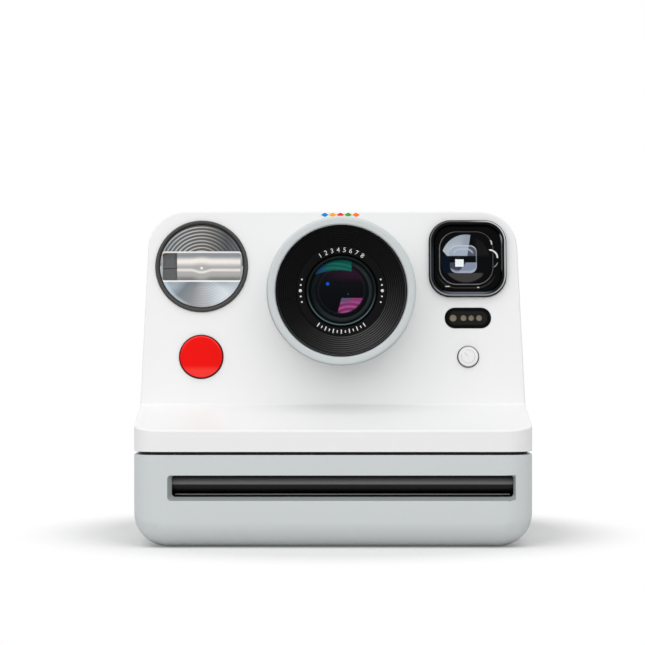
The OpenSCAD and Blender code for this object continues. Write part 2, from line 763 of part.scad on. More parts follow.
// Frame parallel to the rear slope, drop below it
module under_slope(drop, thick, w0, w1) {
    translate([lens_x, back(top_d), body_h]) rotate([-slope_angle, 0, 0]) translate([0, 0, -drop])
        linear_extrude(thick) polygon([
            [-w0 / 2, 6], [w0 / 2, 6], [w0 / 2, 22], [w1 / 2, 44], [w1 / 2, 64], [-w1 / 2, 64],
            [-w1 / 2, 44], [-w0 / 2, 22]
        ]);
}
module taking_mirror() {
    color([0.8, 0.84, 0.88]) intersection() {
        under_slope(12.2, 1.5, chamber_narrow - 4, chamber_wide - 6);
        form(wall + 0.3);
    }
}
module mirror_clamp() {
    color([0.14, 0.14, 0.14]) intersection() {
        under_slope(10.7, 1.2, chamber_narrow, chamber_wide - 2);
        form(wall + 0.3);
    }
}

// ---------- film path ----------

// Tray for the film pack, from side to side
tray_x0 = -47.2;
tray_x1 = 52;
tray_wall = 1.2;
tray_floor = 1.8;
module film_tray() {
    color([0.15, 0.15, 0.15]) intersection() {
        difference() {
            block(tray_x0, tray_x1, hinge_d + 2.6, 147.2, foot_h + wall, chamber_z - 0.2);
            block(
                tray_x0 + tray_wall, tray_x1 - tray_wall, hinge_d, 146,
                foot_h + wall + tray_floor, chamber_z
            );
            for (at = screw_places) translate([at[0], back(at[1]), 0]) cylinder(r = 3.1, h = 6);
        }
        form(wall + 0.02);
        // The knuckles stand clear of the tray's front corners
        block(-body_w, body_w, hinge_d + 4.5, body_d, 0, chamber_z);
    }
}
// Slider along the pack, with a claw at its rear end and a lug at its front end
pick_x = -46;
pick_z = 18.4;
module pick_arm() {
    color([0.75, 0.75, 0.78]) {
        block(pick_x, pick_x + 2, 100, 140, pick_z, pick_z + 1.2);
        block(pick_x + 2 - eps, pick_x + 6, 137, 140, pick_z, pick_z + 1);
        block(pick_x, pick_x + 2, 100, 104, pick_z + 1.2 - eps, pick_z + 5.6);
    }
}

// ---------- gears and rollers ----------

// Spur gear of straight-sided teeth, as an outline turned by phase
module gear_outline(teeth, phase) {
    pitch = gear_m * teeth / 2;
    root = pitch - 1.2 * gear_m;
    tip = pitch + 0.85 * gear_m;
    step = 360 / teeth;
    polygon([for (i = [0:teeth - 1]) for (c = [[-0.32, root], [-0.13, tip], [0.13, tip], [0.32, root]])
        c[1] * [cos(phase + step * (i + c[0])), sin(phase + step * (i + c[0]))]]);
}
// Phase that puts a gear of n teeth in mesh with one of m teeth at the given phase and bearing
function mesh_phase(bearing, m, phase, n) =
    bearing + 180 - 360 / n * (0.5 - (bearing - phase) / (360 / m));
function bearing(a, b) = atan2(b[1] - a[1], b[0] - a[0]);
module gear(at, teeth, phase, bore) {
    translate([gear_x, back(at[0]), at[1]]) rotate([90, 0, 90]) difference() {
        linear_extrude(gear_w) gear_outline(teeth, phase);
        translate([0, 0, -1]) cylinder(r = bore, h = gear_w + 2);
    }
}
roller_phase = mesh_phase(bearing(idler_at, [roller_d, lower_z]), idler_teeth, 0, roller_teeth);
pinion_phase = mesh_phase(bearing(idler_at, pinion_at), idler_teeth, 0, pinion_teeth);
// Radius of the rollers' shafts
shaft_r = 1.5;
module idler_gear() {
    color([0.9, 0.9, 0.85]) gear(idler_at, idler_teeth, 0, 1.25);
}
module roller_gear() {
    color([0.9, 0.9, 0.85]) gear([roller_d, lower_z], roller_teeth, roller_phase, shaft_r);
}
module motor_pinion() {
    color([0.75, 0.65, 0.35]) {
        gear(pinion_at, pinion_teeth, pinion_phase, 0.7);
        rod_x(pinion_at[0], pinion_at[1], 0.75, gear_x, -42);
    }
}
module drive_motor() {
    color("silver") difference() {
        union() {
            rod_x(pinion_at[0], pinion_at[1], motor_r, -45.5, -22);
            rod_x(pinion_at[0], pinion_at[1], 1.8, -46.4, -45);
        }
        rod_x(pinion_at[0], pinion_at[1], 0.8, -47, -41.5);
    }
}
module gear_plate() {
    color([0.7, 0.7, 0.72]) {
        across(1.2, gear_x - 1.8) polygon([
            [back(idler_at[0] - 3), idler_at[1] - 3], [back(52), chamber_z], [back(52), 33],
            [back(32), 34], [back(25), 34]
        ]);
        rod_x(idler_at[0], idler_at[1], 1.2, gear_x - 1.3, gear_x + gear_w + 0.4);
    }
}

roller_x0 = lens_x - 46;
roller_x1 = lens_x + 46;
module lower_roller() {
    color([0.65, 0.66, 0.68]) {
        rod_x(roller_d, lower_z, lower_r, roller_x0, roller_x1);
        rod_x(roller_d, lower_z, shaft_r, gear_x - 0.4, roller_x1 + 2.8);
    }
}
module upper_roller() {
    color([0.65, 0.66, 0.68]) {
        rod_x(roller_d, upper_z, upper_r, roller_x0, roller_x1);
        rod_x(roller_d, upper_z, shaft_r, roller_x0 - 2.4, roller_x1 + 2.8);
    }
}
// Two cheeks on a bar that rests on the door's floor; they hold the rollers
module roller_frame() {
    color([0.2, 0.2, 0.21]) intersection() {
        form(wall);
        difference() {
            union() {
                block(roller_x0 - 2, roller_x1 + 2, roller_d - 4, roller_d + 5, foot_h + wall, 4.6);
                for (x = [roller_x0 - 2, roller_x1 + 0.4])
                    block(x, x + 1.6, roller_d - 5.5, roller_d + 5.5, foot_h + wall, 25);
            }
            for (z = [lower_z, upper_z]) rod_x(roller_d, z, shaft_r + 0.05, -body_w / 2, body_w / 2);
        }
    }
}

// ---------- latch, power and fixings ----------

module door_latch() {
    color([0.2, 0.2, 0.2]) {
        block(52.9, 55.9, latch_d - 2.9, latch_d + 2.9, latch_z - 2, latch_z + 4.9);
        // Ribs for the thumb
        for (z = [-1, 0.6, 2.2, 3.8])
            block(55.9 - eps, 56.1, latch_d - 2.5, latch_d + 2.5, latch_z + z, latch_z + z + 0.5);
        block(53 - eps, 53.9, latch_d - 4.4, latch_d + 4.4, latch_z - 3.5, latch_z + 6.5);
        block(52.9, 53.9, hinge_d - 1.8, latch_d - 4.3, latch_z + 3.5, latch_z + 6.5);
    }
}
module battery() {
    color([0.2, 0.3, 0.45]) block(lens_x + chamber_wide / 2, 52, 68, 116, 23, 51);
}
module main_board() {
    color([0.1, 0.35, 0.2]) {
        block(-43.4, -42.2, 60, 108, 24, 66.8);
        for (at = [[66, 28], [66, 52], [102, 28]])
            rod_x(at[0], at[1], 1.5, -42.2 - eps, lens_x - chamber_wide / 2);
    }
}
module usb_socket() {
    color("silver") difference() {
        block(-55.5, -47.6, usb_d - 4.5, usb_d + 4.5, usb_z - 1.9, usb_z + 1.9);
        block(-56, -50, usb_d - 3.8, usb_d + 3.8, usb_z - 1.2, usb_z + 1.2);
    }
}
module strap_bars() {
    color("silver") for (side = [-1, 1]) translate([side * (body_w / 2 - 2.6), back(strap_d), strap_z])
        cylinder(r = 1, h = pocket_h, center = true);
}
module feet() {
    color([0.15, 0.15, 0.15]) for (at = foot_places)
        translate([at[0], back(at[1]), 0]) cylinder(r = foot_r, h = foot_h + 0.6);
}
module screws() {
    color([0.3, 0.3, 0.3]) for (at = screw_places)
        translate([at[0], back(at[1]), foot_h + 0.1]) difference() {
            union() {
                cylinder(r = head_r, h = 0.9);
                cylinder(r = screw_r, h = 3.9);
            }
            // Cross for the driver
            for (turn = [0, 90]) rotate(turn) translate([-1.2, -0.25, -1]) cube([2.4, 0.5, 1.5]);
        }
}

front_shell();
rear_shell();
lower_tub();
seam_band();
door_shell();
film_shield();
hinge_pins();
lens_barrel();
lens_face();
lens_holder();
front_lens();
focus_carrier();
focus_lenses();
shutter_plate();
shutter_blade_left();
shutter_blade_right();
flash_rim();
flash_window();
flash_reflector();
flash_tube();
flash_capacitor();
finder_bezel();
finder_window();
finder_tube();
eyepiece_frame();
eyepiece_lens();
sensor_bezel();
sensor_ports();
shutter_button();
timer_button();
power_button();
flash_button();
button_switches();
counter_window();
counter_display();
dark_chamber();
taking_mirror();
mirror_clamp();
film_tray();
pick_arm();
drive_motor();
motor_pinion();
idler_gear();
gear_plate();
lower_roller();
roller_gear();
upper_roller();
roller_frame();
door_latch();
battery();
main_board();
usb_socket();
strap_bars();
feet();
screws();
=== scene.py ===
# %% [markdown]
# # A box-type instant camera, dressed for rendering
#
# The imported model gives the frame: every solid at its real size, and the bodies that move. This script
# dresses that frame. It adds moulded shells with soft edges, turned and ribbed optics, and materials made
# of nodes. All places and sizes come from the frame or from named values, and nothing in the frame moves.

# %% Load the frame
import json
import math
import bpy
import bmesh
from mathutils import Matrix, Vector

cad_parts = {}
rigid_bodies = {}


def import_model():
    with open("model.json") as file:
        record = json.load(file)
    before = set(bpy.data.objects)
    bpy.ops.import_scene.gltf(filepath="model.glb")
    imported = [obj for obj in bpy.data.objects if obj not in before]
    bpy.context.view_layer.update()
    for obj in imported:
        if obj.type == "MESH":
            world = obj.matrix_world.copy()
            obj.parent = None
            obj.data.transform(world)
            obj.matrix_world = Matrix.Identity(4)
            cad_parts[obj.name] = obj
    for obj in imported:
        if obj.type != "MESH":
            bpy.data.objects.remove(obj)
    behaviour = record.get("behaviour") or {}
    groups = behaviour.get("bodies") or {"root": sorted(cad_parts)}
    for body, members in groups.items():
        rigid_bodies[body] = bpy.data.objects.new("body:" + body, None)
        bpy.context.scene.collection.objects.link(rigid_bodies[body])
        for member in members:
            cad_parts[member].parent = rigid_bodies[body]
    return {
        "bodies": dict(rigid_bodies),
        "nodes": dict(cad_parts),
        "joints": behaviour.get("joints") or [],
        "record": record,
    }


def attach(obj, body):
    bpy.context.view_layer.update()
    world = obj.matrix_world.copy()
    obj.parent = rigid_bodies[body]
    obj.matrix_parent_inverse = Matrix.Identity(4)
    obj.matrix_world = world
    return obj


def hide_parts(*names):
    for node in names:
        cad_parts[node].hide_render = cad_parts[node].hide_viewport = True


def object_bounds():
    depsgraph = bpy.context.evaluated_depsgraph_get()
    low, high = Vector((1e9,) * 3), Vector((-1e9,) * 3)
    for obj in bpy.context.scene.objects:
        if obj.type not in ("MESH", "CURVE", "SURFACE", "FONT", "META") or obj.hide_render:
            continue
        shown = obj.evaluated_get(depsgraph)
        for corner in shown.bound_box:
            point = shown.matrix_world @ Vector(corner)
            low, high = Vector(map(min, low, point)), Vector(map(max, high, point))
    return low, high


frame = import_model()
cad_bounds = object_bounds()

NODES = frame["nodes"]
print("nodes in the frame:", len(NODES))

# %% [markdown]
# Sizes are easier to read in millimetres, while Blender works in metres. One constant does the change.
# The camera's nose is the plane that distances are counted from, so `back(d)` gives the Y coordinate of
# something d millimetres behind it.

# %% Units and driving sizes
MM = 0.001
SAME_POINT = 0.0005
SHARP_ANGLE = math.radians(35)
LOW, HIGH = (Vector(corner) / MM for corner in cad_bounds)
BODY_W = HIGH.x - LOW.x
BODY_D = HIGH.y - LOW.y
BODY_H = HIGH.z
FOOT_H = 0.3
WALL = 2.0
LEAN = math.radians(8)
SLOPE_D, SLOPE_Z = 84.0, 46.0
TAPER_Z, TOP_HALF_W = 36.0, 53.5
SEAM_Z = 27.0
SEAM_LOW = 26.4
SHELF_Z = 33.0
PANEL_Z = 39.2
PANEL_D = 37.0
SPLIT_D = 66.0
HINGE_D = 38.0
HINGE_Z = 3.4


def back(d):
    """Y coordinate, in mm, of a point d mm behind the nose."""
    return LOW.y + d


def panel_depth(z):
    """Distance behind the nose of the leaning front panel at height z."""
    return PANEL_D + (z - PANEL_Z) * math.tan(LEAN)


def half_width(z):
    """Half the body's width at height z; the upper body narrows towards the top."""
    rise = max(0.0, z - TAPER_Z) / (BODY_H - TAPER_Z)
    return BODY_W / 2 - rise * (BODY_W / 2 - TOP_HALF_W)


print(f"body {BODY_W:.1f} x {BODY_D:.1f} x {BODY_H:.1f} mm")

# %% [markdown]
# ## Camera
# The camera stands about a metre away, level, and a little to one side, which is how product pictures
# of this kind are taken: a long lens keeps the front flat. The floor and the light come last.

# %% Camera
VIEW_DISTANCE = 950.0
VIEW_X = -3.0
VIEW_Z = 63.2
VIEW_LENS = 189.6

camera_data = bpy.data.cameras.new("view_camera")
camera_data.lens = VIEW_LENS
camera_data.sensor_width = 36.0
camera_data.clip_start = 0.05
camera_data.clip_end = 20.0
camera = bpy.data.objects.new("view_camera", camera_data)
camera.location = Vector((VIEW_X, back(0) - VIEW_DISTANCE, VIEW_Z)) * MM
camera.rotation_euler = (math.radians(90), 0, 0)
bpy.context.scene.collection.objects.link(camera)
bpy.context.scene.camera = camera
bpy.context.scene.view_settings.view_transform = "Standard"
print("camera", VIEW_DISTANCE, "mm in front of the nose")

# %% [markdown]
# A material is a small graph of nodes. These helpers keep each graph short. A Signal is a number that the
# nodes work out at each point, and arithmetic on signals adds the Math nodes that do the same sum.

# %% Node helpers
def add_node(owner, kind, **values):
    """Adds a node to a material or world; keys that name an input set its value, others its settings."""
    node = owner.node_tree.nodes.new(kind)
    for key, value in values.items():
        if key in node.inputs:
            node.inputs[key].default_value = value
        else:
            setattr(node, key, value)
    return node


def join(source, target):
    """Links a signal or an output socket to an input socket."""
    target.id_data.links.new(getattr(source, "socket", source), target)


def math_node(operation):
    """A function that puts numbers and signals through one Math node."""
    def apply(*values):
        owner = next(value.owner for value in values if isinstance(value, Signal))
        node = add_node(owner, "ShaderNodeMath", operation=operation)
        for value, socket in zip(values, node.inputs):
            if isinstance(value, (int, float)):
                socket.default_value = value
            else:
                join(value, socket)
        return Signal(owner, node.outputs[0])
    return apply


class Signal:
    """An output socket that can be added, multiplied and so on, with the material or world it is in."""

    def __init__(self, owner, socket):
        self.owner, self.socket = owner, socket

    __add__ = __radd__ = math_node("ADD")
    __mul__ = __rmul__ = math_node("MULTIPLY")
    __sub__, __truediv__, __abs__ = math_node("SUBTRACT"), math_node("DIVIDE"), math_node("ABSOLUTE")
    __pow__ = math_node("POWER")

    def __rsub__(self, other):
        return Signal.__sub__(other, self)


larger, smaller = math_node("MAXIMUM"), math_node("MINIMUM")
sine, root, angle_of = math_node("SINE"), math_node("SQRT"), math_node("ARCTAN2")


def shader_of(material):
    return material.node_tree.nodes["Principled BSDF"]


def shader_material(name, colour, roughness, **sockets):
    """A material with plain values on the sockets of one shader; an underscore stands for a space."""
    material = bpy.data.materials.new(name)
    material.use_nodes = True
    for key, value in {"Base_Color": (*colour, 1), "Roughness": roughness, **sockets}.items():
        shader_of(material).inputs[key.replace("_", " ")].default_value = value
    return material


def variant(material, name):
    """A copy of a material under another name."""
    twin = material.copy()
    twin.name = name
    return twin


def object_point(material):
    """The Object coordinates, in metres in the shared frame, because every piece sits at the origin."""
    return add_node(material, "ShaderNodeTexCoord").outputs["Object"]


def noise(material, scale, detail=3.0, roughness=0.5):
    """A noise signal on Object coordinates; scale counts features per metre."""
    node = add_node(material, "ShaderNodeTexNoise", Scale=scale, Detail=detail, Roughness=roughness)
    join(object_point(material), node.inputs["Vector"])
    return Signal(material, node.outputs["Fac"])


def layers(base, *pairs):
    """Colours laid over one another: each pair is a mask and its colour, plain or from a socket."""
    for mask, colour in pairs:
        # A Mix node's factor is its first input; its two colours are the seventh and the eighth
        node = add_node(mask.owner, "ShaderNodeMix", data_type="RGBA")
        join(mask, node.inputs[0])
        for value, socket in ((base, node.inputs[6]), (colour, node.inputs[7])):
            if isinstance(value, tuple):
                socket.default_value = (*value, 1)
            else:
                join(value, socket)
        base = node.outputs[2]
    return base


def paint(material, base, *pairs):
    """Puts layers on a material's main shader; without a base they go over the colour that it has."""
    target = shader_of(material).inputs["Base Color"]
    join(layers(base or target.links[0].from_socket, *pairs), target)


def vary(material, fac, low, high):
    """Moves the main shader's roughness between low and high by a 0 to 1 signal."""
    node = add_node(material, "ShaderNodeMapRange", **{"To Min": low, "To Max": high})
    join(fac, node.inputs["Value"])
    join(node.outputs["Result"], shader_of(material).inputs["Roughness"])


def bump(material, height, distance, strength):
    """Bump on the main shader from a height signal; distance is in metres."""
    node = add_node(material, "ShaderNodeBump", Distance=distance, Strength=strength)
    join(height, node.inputs["Height"])
    join(node.outputs["Normal"], shader_of(material).inputs["Normal"])


def mixed(fac, first, second):
    """A Mix Shader of two shaders' outputs."""
    node = add_node(fac.owner, "ShaderNodeMixShader")
    for source, target in zip((fac, first, second), node.inputs):
        join(source, target)
    return node.outputs[0]


# %% [markdown]
# ## Moulded plastic
# The shells are injection-moulded and lightly spark-eroded: seen close, the surface is a fine even grain
# about a quarter of a millimetre across, with hardly any height. A fine noise drives a very low bump, and a
# second, broad noise moves the roughness a little, as handling does.

# %% Plastics
def moulded_plastic(name, colour, roughness=0.42, grain=0.5, specular=0.42):
    material = shader_material(name, colour, roughness, Specular_IOR_Level=specular)
    paint(material, tuple(c * 0.985 for c in colour), (noise(material, 35, 4), colour))
    vary(material, noise(material, 90, 5, 0.6), roughness - 0.05, roughness + 0.06)
    bump(material, noise(material, 4200, 2), 0.00002, grain)
    return material


WHITE_SHELL = moulded_plastic("white_shell_plastic", (0.88, 0.88, 0.88), 0.46)
GREY_SHELL = moulded_plastic("grey_shell_plastic", (0.635, 0.668, 0.676), 0.45)
RING_GREY = moulded_plastic("ring_grey_plastic", (0.60, 0.635, 0.642), 0.36, 0.3)
BLACK_TRIM = moulded_plastic("satin_black", (0.012, 0.012, 0.013), 0.38, 0.6)
print("plastics made")

# %% [markdown]
# ## Making and finishing pieces
# Every piece starts as a bmesh in millimetres. `make_piece` turns it into an object at the origin, lets it
# ride on its body, and hides the solid that it stands for. Hard plastic never has a truly sharp edge, so a
# small Bevel and a Weighted Normal finish it: flat faces stay flat and the edges catch light.

# %% Piece helpers
def scene_object(name, bm):
    """An object of the scene with the mesh of a bmesh, which is freed."""
    mesh = bpy.data.meshes.new(name)
    bm.to_mesh(mesh)
    bm.free()
    made = bpy.data.objects.new(name, mesh)
    bpy.context.scene.collection.objects.link(made)
    return made


def discard(working):
    """Removes a working object and its mesh."""
    mesh = working.data
    bpy.data.objects.remove(working)
    bpy.data.meshes.remove(mesh)


def make_piece(name, bm, slot, material, replaces="", body="camera_body", edge=0.0, steps=2):
    """Turns a bmesh in mm into a finished object; edge is the size in mm of its small bevels."""
    bmesh.ops.remove_doubles(bm, verts=bm.verts, dist=SAME_POINT)
    bmesh.ops.transform(bm, matrix=Matrix.Scale(MM, 4), verts=bm.verts)
    piece = scene_object(name, bm)
    mesh = piece.data
    for one in material if isinstance(material, list) else [material]:
        mesh.materials.append(one)
    mesh.polygons.foreach_set("use_smooth", [True] * len(mesh.polygons))
    if edge:
        bevel = piece.modifiers.new("soft edges", "BEVEL")
        bevel.width = edge * MM
        bevel.segments = steps
        bevel.limit_method = "ANGLE"
        bevel.angle_limit = SHARP_ANGLE
    weighted = piece.modifiers.new("flat faces", "WEIGHTED_NORMAL")
    weighted.keep_sharp = True
    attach(piece, body)
    if replaces:
        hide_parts(replaces)
    return piece


def tell(*pieces):
    """Prints what a cell made."""
    for piece in pieces:
        print(piece.name, len(piece.data.polygons), "faces")


def with_modifier(bm, kind, **settings):
    """Runs one modifier over a bmesh in mm and gives the result back as a new bmesh."""
    working = scene_object("working", bm)
    modifier = working.modifiers.new(kind, kind)
    for key, value in settings.items():
        setattr(modifier, key, value)
    evaluated = working.evaluated_get(bpy.context.evaluated_depsgraph_get())
    result = bmesh.new()
    result.from_mesh(evaluated.to_mesh())
    discard(working)
    return result


def combined(operation, bm, tools):
    """Cuts tool shapes, each a bmesh in mm, out of a bmesh, or adds them to it, one after the other."""
    for tool in tools:
        tool.normal_update()
        bmesh.ops.recalc_face_normals(tool, faces=tool.faces)
        other = scene_object("tool", tool)
        bm = with_modifier(bm, "BOOLEAN", operation=operation, solver="EXACT", object=other)
        discard(other)
    return bm


def cut(bm, *tools):
    return combined("DIFFERENCE", bm, tools)


def with_added(bm, *tools):
    """Adds tool shapes to a bmesh as one solid."""
    return combined("UNION", bm, tools)


def joined(*parts):
    """One bmesh that holds several."""
    whole = bmesh.new()
    for part in parts:
        mesh = bpy.data.meshes.new("part")
        part.to_mesh(mesh)
        part.free()
        whole.from_mesh(mesh)
        bpy.data.meshes.remove(mesh)
    return whole


# %% [markdown]
# Places on the camera are matrices. The lens axis is level; the flash, the finder and the buttons stand
# square to the leaning panel; the keys at the back stand square to the rear slope. In each of these frames
# +Z points out of the camera and +Y points up.

# %% Places
SLOPE = math.atan((BODY_H - SLOPE_Z) / (BODY_D - SLOPE_D))


def turn(degrees, axis):
    return Matrix.Rotation(math.radians(degrees), 4, axis)


def shift(x, y, z):
    return Matrix.Translation((x, y, z))


def level_at(x, d, z):
    return shift(x, back(d), z) @ turn(90, "X")


def on_panel(x, z):
    place = shift(x, back(panel_depth(z)), z)
    return place @ Matrix.Rotation(math.radians(90) - LEAN, 4, "X")


def on_slope(x, d):
    place = shift(x, back(d), BODY_H - (d - SLOPE_D) * math.tan(SLOPE))
    return place @ Matrix.Rotation(-SLOPE, 4, "X") @ turn(180, "Z")


def level_behind(x, d, z):
    """A level frame whose +Z points backwards."""
    return shift(x, back(d), z) @ turn(-90, "X")


def beside(x, d, z):
    """A level frame whose +Z points to the right and +Y up."""
    return shift(x, back(d), z) @ Matrix(((0, 0, 1, 0), (1, 0, 0, 0), (0, 1, 0, 0), (0, 0, 0, 1)))


# %% [markdown]
# Two shapes make most of the small pieces: a profile spun round an axis, as on a lathe, and a rounded
# rectangle with a thickness. Both come from bmesh operators.

# %% Turned and rounded shapes
def thicken(bm, height=0.0, across=0.0):
    """Makes a closed solid of a flat bmesh, raised along Z or carried along X."""
    grown = bmesh.ops.extrude_face_region(bm, geom=list(bm.faces))
    tops = [item for item in grown["geom"] if isinstance(item, bmesh.types.BMVert)]
    bmesh.ops.translate(bm, vec=(across, 0, height), verts=tops)
    bmesh.ops.recalc_face_normals(bm, faces=bm.faces)
    return bm


def turned(profile, place, steps=96, closed=True):
    """Spins a profile of (radius, height) points in mm about the place's Z axis."""
    bm = bmesh.new()
    points = [bm.verts.new((radius, 0, height)) for radius, height in profile]
    lines = [bm.edges.new(pair) for pair in zip(points, points[1:])]
    if closed:
        lines.append(bm.edges.new((points[-1], points[0])))
    bmesh.ops.spin(bm, geom=points + lines, cent=(0, 0, 0), axis=(0, 0, 1), angle=math.tau, steps=steps,
                   use_merge=True, use_duplicate=False)
    bmesh.ops.remove_doubles(bm, verts=bm.verts, dist=SAME_POINT)
    bmesh.ops.recalc_face_normals(bm, faces=bm.faces)
    bmesh.ops.transform(bm, matrix=place, verts=bm.verts)
    return bm


def rounded_block(width, height, radius, low, high, place, steps=10):
    """A rounded rectangle, width by height, from low to high along the place's Z axis."""
    bm = bmesh.new()
    corners = [(-1, -1), (1, -1), (1, 1), (-1, 1)]
    face = bm.faces.new([bm.verts.new((x * width / 2, y * height / 2, low)) for x, y in corners])
    if radius > 0:
        bmesh.ops.bevel(bm, geom=list(face.verts), offset=radius, offset_type="OFFSET", affect="VERTICES",
                        segments=steps, profile=0.5, material=-1)
    thicken(bm, high - low)
    bmesh.ops.transform(bm, matrix=place, verts=bm.verts)
    return bm


def rod(radius, low, high, place, steps=64):
    """A plain round rod from low to high along the place's Z axis."""
    bm = bmesh.new()
    bmesh.ops.create_cone(bm, cap_ends=True, segments=steps, radius1=radius, radius2=radius, depth=high - low)
    bmesh.ops.translate(bm, vec=(0, 0, (low + high) / 2), verts=bm.verts)
    bmesh.ops.transform(bm, matrix=place, verts=bm.verts)
    return bm


def box(x0, x1, d0, d1, z0, z1):
    """A box by its ranges in x, distance and height."""
    bm = bmesh.new()
    bmesh.ops.create_cube(bm, size=1)
    size = Matrix.Diagonal((x1 - x0, d1 - d0, z1 - z0, 1))
    centre = shift((x0 + x1) / 2, back((d0 + d1) / 2), (z0 + z1) / 2)
    bmesh.ops.transform(bm, matrix=centre @ size, verts=bm.verts)
    return bm


# %% [markdown]
# ## The outer form
# The whole body is first one closed block: its side outline, drawn across the camera and tapered towards
# the top. Each edge then gets its own radius from a single Bevel modifier, through edge weights, so that
# different radii blend where they meet, as on the tool that moulds the shells.

# %% Outer form
TOP_EDGE, SLOPE_EDGE, REAR_EDGE, BASE_EDGE, NOSE_EDGE = 10.5, 8.0, 13.0, 9.3, 8.0
RIM_EDGE, FOOT_EDGE = 0.5, 0.7
# Corners of the side outline as (distance, height, edge offset of the bend), nose bottom first; the bends
# without an offset get the small one of the rim
OUTLINE = [
    (0, FOOT_H, 7.0), (0, SHELF_Z, 0), (PANEL_D, PANEL_Z, 0), (panel_depth(BODY_H), BODY_H, 0),
    (SLOPE_D, BODY_H, 4.0), (BODY_D, SLOPE_Z, 5.6), (BODY_D, FOOT_H, 8.0),
]
# Offset of the long edge that starts at each corner and runs to the next
SIDE_EDGES = [NOSE_EDGE, 0, 0, TOP_EDGE, SLOPE_EDGE, REAR_EDGE, BASE_EDGE]


def inset_corners(inset):
    """The side outline moved inwards by a distance, corner by corner."""
    corners = [Vector((d, z)) for d, z, _ in OUTLINE]
    moved = []
    for index, corner in enumerate(corners):
        before = (corner - corners[index - 1]).normalized()
        after = (corners[(index + 1) % len(corners)] - corner).normalized()
        inward = Vector((before.y, -before.x)) + Vector((after.y, -after.x))
        moved.append(corner + inward * (inset / (1 + before.dot(after))))
    return moved


def edge_offset(edge, corners):
    """The offset of an edge of the sharp block, found from where it lies on the side outline."""
    first, last = (Vector((v.co.y - back(0), v.co.z)) for v in edge.verts)
    across = abs(edge.verts[0].co.x - edge.verts[1].co.x) > BODY_W / 2
    for index, corner in enumerate(corners):
        if across:
            if (first - corner).length < 0.01:
                return OUTLINE[index][2]
            continue
        run = corners[(index + 1) % len(corners)] - corner
        middle = (first + last) / 2 - corner
        off_line = abs(run.cross(middle)) / run.length
        if off_line < 0.01 and abs(run.normalized().dot((last - first).normalized())) > 0.999:
            return SIDE_EDGES[index]
    return 0.0


def outer_form(inset=0.0, steps=8):
    """The closed, rounded block of the whole body, or the same block moved inwards."""
    corners = inset_corners(inset)
    bm = bmesh.new()
    bm.faces.new([bm.verts.new((-1, back(d), z)) for d, z in corners])
    thicken(bm, across=2)
    bmesh.ops.bisect_plane(bm, geom=bm.verts[:] + bm.edges[:] + bm.faces[:], plane_co=(0, 0, TAPER_Z),
                           plane_no=(0, 0, 1))
    for vert in bm.verts:
        vert.co.x *= half_width(vert.co.z) - inset
    bmesh.ops.recalc_face_normals(bm, faces=bm.faces)
    large = rounded_edges(bm, steps, lambda edge: max(edge_offset(edge, corners) - 0.7 * inset, 0))
    return large if inset else rounded_edges(large, 4, rim_offset)


def rim_offset(edge):
    """The offset of an edge that the first, large rounding left sharp."""
    if len(edge.link_faces) < 2 or edge.calc_face_angle() < math.radians(25):
        return 0.0
    return RIM_EDGE if edge.is_convex else FOOT_EDGE


def rounded_edges(bm, steps, offset_of):
    """Bevels each edge by its own offset."""
    offsets = [offset_of(edge) for edge in bm.edges]
    weight = bm.edges.layers.float.get("bevel_weight_edge") or bm.edges.layers.float.new("bevel_weight_edge")
    for edge, offset in zip(bm.edges, offsets):
        edge[weight] = offset / max(offsets)
    settings = {"width": max(offsets), "segments": steps, "limit_method": "WEIGHT",
                "use_clamp_overlap": False}
    return with_modifier(bm, "BEVEL", **settings)


def keep_side(bm, point, normal):
    """Cuts a solid by a plane, keeps what lies behind the plane's normal and closes the cut."""
    bmesh.ops.bisect_plane(bm, geom=bm.verts[:] + bm.edges[:] + bm.faces[:], plane_co=point,
                           plane_no=normal, clear_outer=True)
    bmesh.ops.holes_fill(bm, edges=[edge for edge in bm.edges if edge.is_boundary], sides=0)


def shell(d0, d1, z0, z1, wall=WALL):
    """The part of the outer form between two distances and two heights, hollowed by the inner form."""
    bm = outer_form()
    keep_side(bm, (0, back(d0), 0), (0, -1, 0))
    keep_side(bm, (0, back(d1), 0), (0, 1, 0))
    keep_side(bm, (0, 0, z0), (0, 0, -1))
    keep_side(bm, (0, 0, z1), (0, 0, 1))
    return cut(bm, outer_form(wall, 4))


print("outer form:", len(outer_form().faces), "faces")

# %% [markdown]
# ## Front shell
# The front shell carries everything that the user looks at: it is one moulding from the nose, over the
# shelf and up the leaning panel to the top. Its openings are cut with rods and rounded blocks that stand
# square to the panel, so each one fits the part that fills it.

# %% Front shell
LENS_X, LENS_Z = 2.4, 72.3
BARREL_R, HOLDER_R = 21.45, 10.0
LEFT_X, RIGHT_X = -38.3, 39.4
FLASH_Z, FLASH_R = 79.6, 13.45
FINDER_Z, FINDER_W, FINDER_R = 81.8, 22.5, 6.3
SENSOR_Z, SENSOR_W, SENSOR_H = 64.5, 13.3, 5.9
BUTTON_Z, SHUTTER_R, TIMER_R = 53.2, 6.3, 3.0
GAP = 0.12
BUTTON_GAP = 0.22
SHELL_EDGE = {"edge": 0.28, "steps": 3}


def panel_openings():
    return [rod(BARREL_R + GAP, -45.2, -10, level_at(LENS_X, 0, LENS_Z), 128),
            rod(FLASH_R + GAP, -8, 4, on_panel(LEFT_X, FLASH_Z), 96),
            rounded_block(FINDER_W + 2 * GAP, FINDER_W + 2 * GAP, FINDER_R, -8, 4,
                          on_panel(RIGHT_X, FINDER_Z)),
            rounded_block(SENSOR_W + 2 * GAP, SENSOR_H + 2 * GAP, SENSOR_H / 2, -8, 4,
                          on_panel(RIGHT_X, SENSOR_Z)),
            rod(SHUTTER_R + BUTTON_GAP, -8, 4, on_panel(LEFT_X, BUTTON_Z), 96),
            rod(TIMER_R + BUTTON_GAP, -8, 4, on_panel(RIGHT_X, BUTTON_Z), 64)]


